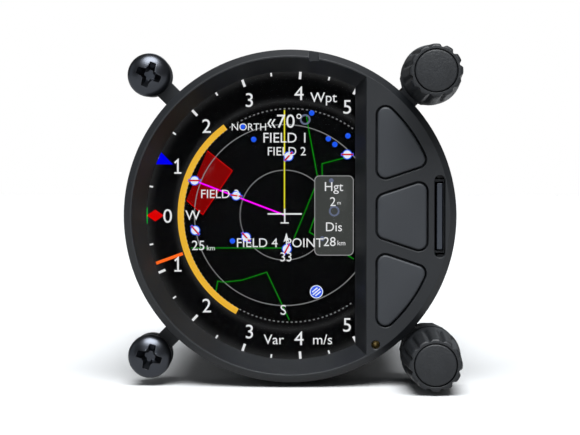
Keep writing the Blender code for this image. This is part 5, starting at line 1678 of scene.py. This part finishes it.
# %% Tube screws
TUBE_SCREW = 1.2
for label, along in (("front", FRONT_SCREWS), ("rear", REAR_SCREWS)):
    for number, degrees in enumerate(TUBE_SCREW_ANGLES, 1):
        low = TUBE_RADIUS - 1.95
        high = TUBE_RADIUS - 0.05
        body = [(0.0, low), (TUBE_SCREW - 0.12, low), (TUBE_SCREW, low + 0.12), (TUBE_SCREW, high - 0.14),
                (TUBE_SCREW - 0.05, high - 0.05), (TUBE_SCREW - 0.14, high), (0.0, high)]
        small = as_object(f"housing_screw_{label}_{number}", lathe(body, 40))
        cut(small, plates([circle((0.0, 0.0), 0.72, 6)], high - 0.95, high + 0.3))
        soften(small, 0.03, steps=2, angle=40.0)
        turn = Matrix.Rotation(-math.radians(degrees), 4, "Y") @ Matrix.Rotation(-math.pi / 2, 4, "Z")
        small.matrix_world = Matrix.Translation((0.0, along * MM, 0.0)) @ turn
        settle(small, "instrument", SCREW, [f"tube_screw_{label}_{number}"])

# %% Rear cover
cover_front = cover_low.y + 6.0
cover_back = cover_high.y
shell = SPIGOT_RADIUS - 0.9 - CLEAR
cover_ring = [
    (0.0, cover_front), (shell, cover_front), (shell, cover_low.y), (SPIGOT_RADIUS - 0.15, cover_low.y),
    (SPIGOT_RADIUS, cover_low.y + 0.15), (SPIGOT_RADIUS, cover_front), (TUBE_RADIUS, cover_front),
    (TUBE_RADIUS, cover_back), (24.6, cover_back), (24.4, cover_back - 0.35), (0.0, cover_back - 0.35),
]
cover_ring = eased(cover_ring, {7: 0.55, 8: 0.10})
cover = as_object("rear_casting", lathe(cover_ring, SEGMENTS), sharp=30.0)
PORTS = ("static", "pitot", "energy")
port_sites = {}
for label in PORTS:
    low, high = box_mm(f"{label}_port")
    port_sites[label] = ((low.x + high.x) / 2, (low.z + high.z) / 2)
jack_low, jack_high = box_mm("network_jack")
jack_middle = ((jack_low.x + jack_high.x) / 2, (jack_low.z + jack_high.z) / 2)
jack_width = jack_high.x - jack_low.x
jack_height = jack_high.z - jack_low.z
plug_low, plug_high = box_mm("power_connector")
plug_middle = ((plug_low.x + plug_high.x) / 2, (plug_low.z + plug_high.z) / 2)
PLUG_WIDTH = 17.0
PLUG_HEIGHT = 8.4
PLUG_SLANT = math.radians(10.0)


def plug_outline(offset, corner_radius=0.9):
    """The slanted mouth of the power plug, with rounded corners, moved outwards by offset."""
    half_height = PLUG_HEIGHT / 2 + offset
    half_width = PLUG_WIDTH / 2 + offset
    lean = half_height * math.tan(PLUG_SLANT)
    x, z = plug_middle
    corners = [
        (x - half_width + lean, z - half_height), (x + half_width - lean, z - half_height),
        (x + half_width + lean, z + half_height), (x - half_width - lean, z + half_height),
    ]
    points = []
    for index, point in enumerate(corners):
        points += round_corner(corners[index - 1], point, corners[(index + 1) % 4], corner_radius, 6)
    return points


holes = [circle(site, 2.8, 40) for site in port_sites.values()]
holes.append(rectangle(jack_middle, jack_width + 2 * CLEAR, jack_height + 2 * CLEAR, corner=0.3))
holes.append(plug_outline(CLEAR))
for hole in holes:
    cut(cover, plates([hole], cover_front - 0.5, cover_back + 0.5))
cut(cover, radial_rods(TUBE_SCREW_HOLE, shell - 0.5, SPIGOT_RADIUS + 0.5, REAR_SCREWS))
even_out(cover, 30.0)
settle(cover, "instrument", COVER, ["rear_cover"])

# %% [markdown]
# ### Pressure ports
# Three barbed brass stubs take soft hoses for static, pitot and total-energy pressure. Each barb
# is a gentle slope and a sharp return, so that a hose slides on and won't slide off. A band of
# flats behind the barbs takes a spanner.

# %% Ports
PORT_BORE = 1.0
PORT_THREAD = 2.5
PORT_FLANGE = 3.6
BARBS = 4
for label in PORTS:
    low, high = box_mm(f"{label}_port")
    flange = cover_back + CLEAR
    profile = [(PORT_BORE, low.y), (1.9, low.y), (1.9, cover_front - 2.0), (PORT_THREAD, cover_front - 2.0),
               (PORT_THREAD, flange), (PORT_FLANGE - 0.15, flange), (PORT_FLANGE, flange + 0.15),
               (PORT_FLANGE, flange + 2.25), (PORT_FLANGE - 0.15, flange + 2.4),
               (PORT_THREAD * 0.8, flange + 2.4)]
    start = flange + 3.0
    barb = (high.y - start - 0.2) / BARBS
    for number in range(BARBS):
        foot = start + number * barb
        profile += [(PORT_THREAD * 0.80, foot), (PORT_THREAD * 0.98, foot + 0.06), (PORT_THREAD, foot + 0.2)]
        profile += [(PORT_THREAD * 0.82, foot + barb * 0.92)]
    profile += [(PORT_THREAD * 0.66, high.y - 0.1), (PORT_THREAD * 0.6, high.y), (PORT_BORE + 0.1, high.y),
                (PORT_BORE, high.y - 0.1)]
    port = as_object(f"{label}_stub", lathe(profile, 64, closed=True), sharp=30.0)
    for flat in range(6):
        turn = math.pi / 3 * flat
        side = block((3.25, flange + 0.25, -3.0), (5.0, flange + 2.15, 3.0))
        bmesh.ops.transform(side, matrix=Matrix.Rotation(turn, 4, "Y"), verts=side.verts)
        cut(port, side)
    even_out(port, 30.0)
    stand(port, *port_sites[label])
    settle(port, "instrument", BRASS, [f"{label}_port"])

# %% [markdown]
# ### Network jack
# The jack is a folded sheet-steel can round a black moulding. Its mouth is a plain rectangle, and
# eight gold springs slope down inside it.

# %% Jack
JACK_MOUTH = (11.8, 8.0)
can = as_object(
    "jack_can",
    loft([(jack_low.y, rectangle(jack_middle, jack_width, jack_height, corner=0.5)),
          (jack_high.y - 0.1, rectangle(jack_middle, jack_width, jack_height, corner=0.5)),
          (jack_high.y, rectangle(jack_middle, jack_width - 0.2, jack_height - 0.2, corner=0.45))]),
)
mouth = rectangle(jack_middle, JACK_MOUTH[0] + 1.2, JACK_MOUTH[1] + 1.2, corner=0.2)
cut(can, plates([mouth], jack_high.y - 12.6, jack_high.y + 0.5))
for side in (-1, 1):
    for level in (-3.2, 3.2):
        x = jack_middle[0] + side * jack_width / 2
        spring = block((x - 0.12, jack_high.y - 4.6, jack_middle[1] + level - 0.8),
                       (x + 0.12, jack_high.y - 1.4, jack_middle[1] + level + 0.8))
        cut(can, spring)
settle(can, "instrument", STEEL, ["network_jack"])

liner_outline = rectangle(jack_middle, JACK_MOUTH[0] + 1.0, JACK_MOUTH[1] + 1.0, corner=0.2)
liner = as_object("jack_liner", plates([liner_outline], jack_high.y - 12.5, jack_high.y - 0.25))
cut(liner, plates([rectangle(jack_middle, *JACK_MOUTH)], jack_high.y - 12.0, jack_high.y + 0.5))
soften(liner, 0.08, steps=2)
settle(liner, "instrument", LINER)

springs = bmesh.new()
for number in range(8):
    x = jack_middle[0] + (number - 3.5) * 1.02
    top = jack_middle[1] + JACK_MOUTH[1] / 2
    path = [(jack_high.y - 1.6, top - 0.18), (jack_high.y - 2.1, top - 0.22), (jack_high.y - 8.6, top - 3.1)]
    for (y, z), (far_y, far_z) in zip(path, path[1:]):
        corners = [(x - 0.17, y, z), (x + 0.17, y, z), (x + 0.17, far_y, far_z), (x - 0.17, far_y, far_z)]
        springs.faces.new([springs.verts.new(corner_at) for corner_at in corners])
bmesh.ops.remove_doubles(springs, verts=springs.verts, dist=0.01)
springs_piece = as_object("jack_springs", springs)
solid = springs_piece.modifiers.new("thickness", "SOLIDIFY")
solid.thickness = 0.18 * MM
bake_modifiers(springs_piece)
settle(springs_piece, "instrument", GOLD)

# %% [markdown]
# ### Power plug
# The nine-way plug has a pressed steel rim, a black insert and nine pins in two rows. The rim is
# thin, so it is drawn as a tube with a rolled lip, and the insert is set back inside it.

# %% Plug
PIN_PITCH = 2.76
rim_back = plug_high.y
body_back = cover_front - CLEAR
rim = as_object(
    "plug_rim",
    loft([(body_back - 0.5, plug_outline(0.0)), (rim_back - 0.15, plug_outline(0.0)),
          (rim_back - 0.04, plug_outline(-0.05)), (rim_back, plug_outline(-0.14))]),
)
cut(rim, plates([plug_outline(-0.45)], body_back - 1.0, rim_back + 0.5))
body_outline = rectangle(plug_middle, plug_high.x - plug_low.x, plug_high.z - plug_low.z, corner=0.8)
cut(rim, plates([body_outline], plug_low.y, body_back), "UNION")
settle(rim, "instrument", ZINC, ["power_connector"])

insert = as_object("plug_insert", plates([plug_outline(-0.5)], body_back - 0.1, rim_back - 4.6))
soften(insert, 0.15, steps=2)
settle(insert, "instrument", LINER)

for row, count in ((1, 5), (-1, 4)):
    for number in range(count):
        x = plug_middle[0] + (number - (count - 1) / 2) * PIN_PITCH
        z = plug_middle[1] + row * PIN_PITCH / 2
        tip = rim_back - 0.9
        pin_profile = [(0.0, body_back + 0.2), (0.5, body_back + 0.2), (0.5, tip - 0.5), (0.42, tip - 0.2),
                       (0.22, tip), (0.0, tip + 0.03)]
        pin = as_object(f"plug_pin_{'upper' if row > 0 else 'lower'}_{number + 1}", lathe(pin_profile, 24))
        stand(pin, x, z)
        settle(pin, "instrument", GOLD)

# %% [markdown]
# ## Window
# The window is anti-glare acrylic. It keeps a plain, clear transmission, and its only texture is
# a trace of ripple and the smears that fingers leave. Its coating lets almost no light
# bounce off, so its index is set low, and the display behind it stays black.

# %% Window finish
GLASS = bpy.data.materials.new("window_glass")
GLASS.use_nodes = True
tree = GLASS.node_tree
shader = tree.nodes["Principled BSDF"]
shader.inputs["Base Color"].default_value = (0.98, 0.99, 1.0, 1.0)
shader.inputs["Transmission Weight"].default_value = 1.0
shader.inputs["IOR"].default_value = 1.04
place = tree.nodes.new("ShaderNodeTexCoord").outputs["Object"]
touched = tree.nodes.new("ShaderNodeGroup")
touched.node_tree = HANDLING
touched.inputs["Smears per metre"].default_value = 120.0
tree.links.new(place, touched.inputs["Place"])
film = maths(tree, "MULTIPLY", touched.outputs["Smears"], 0.03)
tree.links.new(film, shader.inputs["Roughness"])
ripple = tree.nodes.new("ShaderNodeTexNoise")
ripple.inputs["Scale"].default_value = 60.0
tree.links.new(place, ripple.inputs["Vector"])
bump = tree.nodes.new("ShaderNodeBump")
bump.inputs["Distance"].default_value = 0.0004 * MM
tree.links.new(ripple.outputs["Fac"], bump.inputs["Height"])
tree.links.new(bump.outputs["Normal"], shader.inputs["Normal"])
print("window finish ready")

# %% [markdown]
# The unlit cells of the panel aren't quite black: the lamp behind them leaks a little at the rim
# of the round picture and along the edge of the map. Both show as rings of very dark grey.

# %% Dark cells of the display
SCREEN = bpy.data.materials.new("screen_black")
SCREEN.use_nodes = True
tree = SCREEN.node_tree
shader = tree.nodes["Principled BSDF"]
shader.inputs["Base Color"].default_value = (0.0010, 0.0010, 0.0012, 1.0)
shader.inputs["Roughness"].default_value = 0.30
shader.inputs["Specular IOR Level"].default_value = 0.03
place = tree.nodes.new("ShaderNodeTexCoord").outputs["Object"]
parts = tree.nodes.new("ShaderNodeSeparateXYZ")
tree.links.new(place, parts.inputs["Vector"])
across = maths(tree, "MULTIPLY", parts.outputs["X"], parts.outputs["X"])
upright = maths(tree, "MULTIPLY", parts.outputs["Z"], parts.outputs["Z"])
radius = maths(tree, "SQRT", maths(tree, "ADD", across, upright))


def leak(centre, width, strength):
    """A soft ring of light round the axis."""
    away = maths(tree, "SUBTRACT", radius, centre * MM)
    away = maths(tree, "DIVIDE", maths(tree, "ABSOLUTE", away), width * MM)
    near = maths(tree, "SUBTRACT", 1.0, away, clamp=True)
    return maths(tree, "MULTIPLY", maths(tree, "POWER", near, 2.0), strength)


rings = maths(tree, "ADD", leak(24.6, 2.0, 0.030), leak(19.3, 1.1, 0.018))
tint = tree.nodes.new("ShaderNodeCombineXYZ")
for axis in ("X", "Y", "Z"):
    tree.links.new(rings, tint.inputs[axis])
cells = tree.nodes.new("ShaderNodeGroup")
cells.node_tree = COLUMNS
cells.inputs["Columns per metre"].default_value = COLUMN_RATE
tree.links.new(tint.outputs["Vector"], cells.inputs["Colour"])
tree.links.new(cells.outputs["Glow"], shader.inputs["Emission Color"])
shader.inputs["Emission Strength"].default_value = 1.0
print("dark cells ready")

# %% [markdown]
# ## Parts of the model that stay
# The parts inside the housing, and the nuts and bushings of the knobs, already have the right
# shape. They only get a finish. The list pairs a word in the part's name with its finish, and the
# first word that fits decides.

# %% Dress the model's own parts
DRESS = (
    ("display_window", GLASS), ("display_panel", SCREEN), ("display_backlight", DIFFUSER),
    ("window_gasket", FOAM), ("board", BOARD), ("retaining_ring", STEEL), ("card_socket", HOUSING),
    ("shield", ZINC), ("sensor", MOULDED), ("switch_plunger", ZINC), ("switch", MOULDED),
    ("encoder_flex", FILM), ("encoder_bushing", ZINC), ("encoder_shaft", ZINC), ("encoder_plunger", ZINC),
    ("encoder_body", MOULDED), ("panel_nut", ZINC), ("knob_collet", BRASS), ("knob_nut", BRASS),
)
dressed = 0
for name, node in sorted(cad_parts.items()):
    if node.hide_render:
        continue
    chosen = next(material for word_in_name, material in DRESS if word_in_name in name)
    node.data.materials.clear()
    node.data.materials.append(chosen)
    dressed += 1
print(f"{dressed} parts dressed")

# %% [markdown]
# ## Size after dressing
# The dressed instrument must be as large as the model was. Both boxes are printed, so that they
# can be compared.

# %% Print both boxes
made_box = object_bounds()
for low, high, label in ((*cad_box, "model"), (*made_box, "dressed")):
    print(label, " x ".join(f"{(b - a) / MM:.2f}" for a, b in zip(low, high)), "mm")
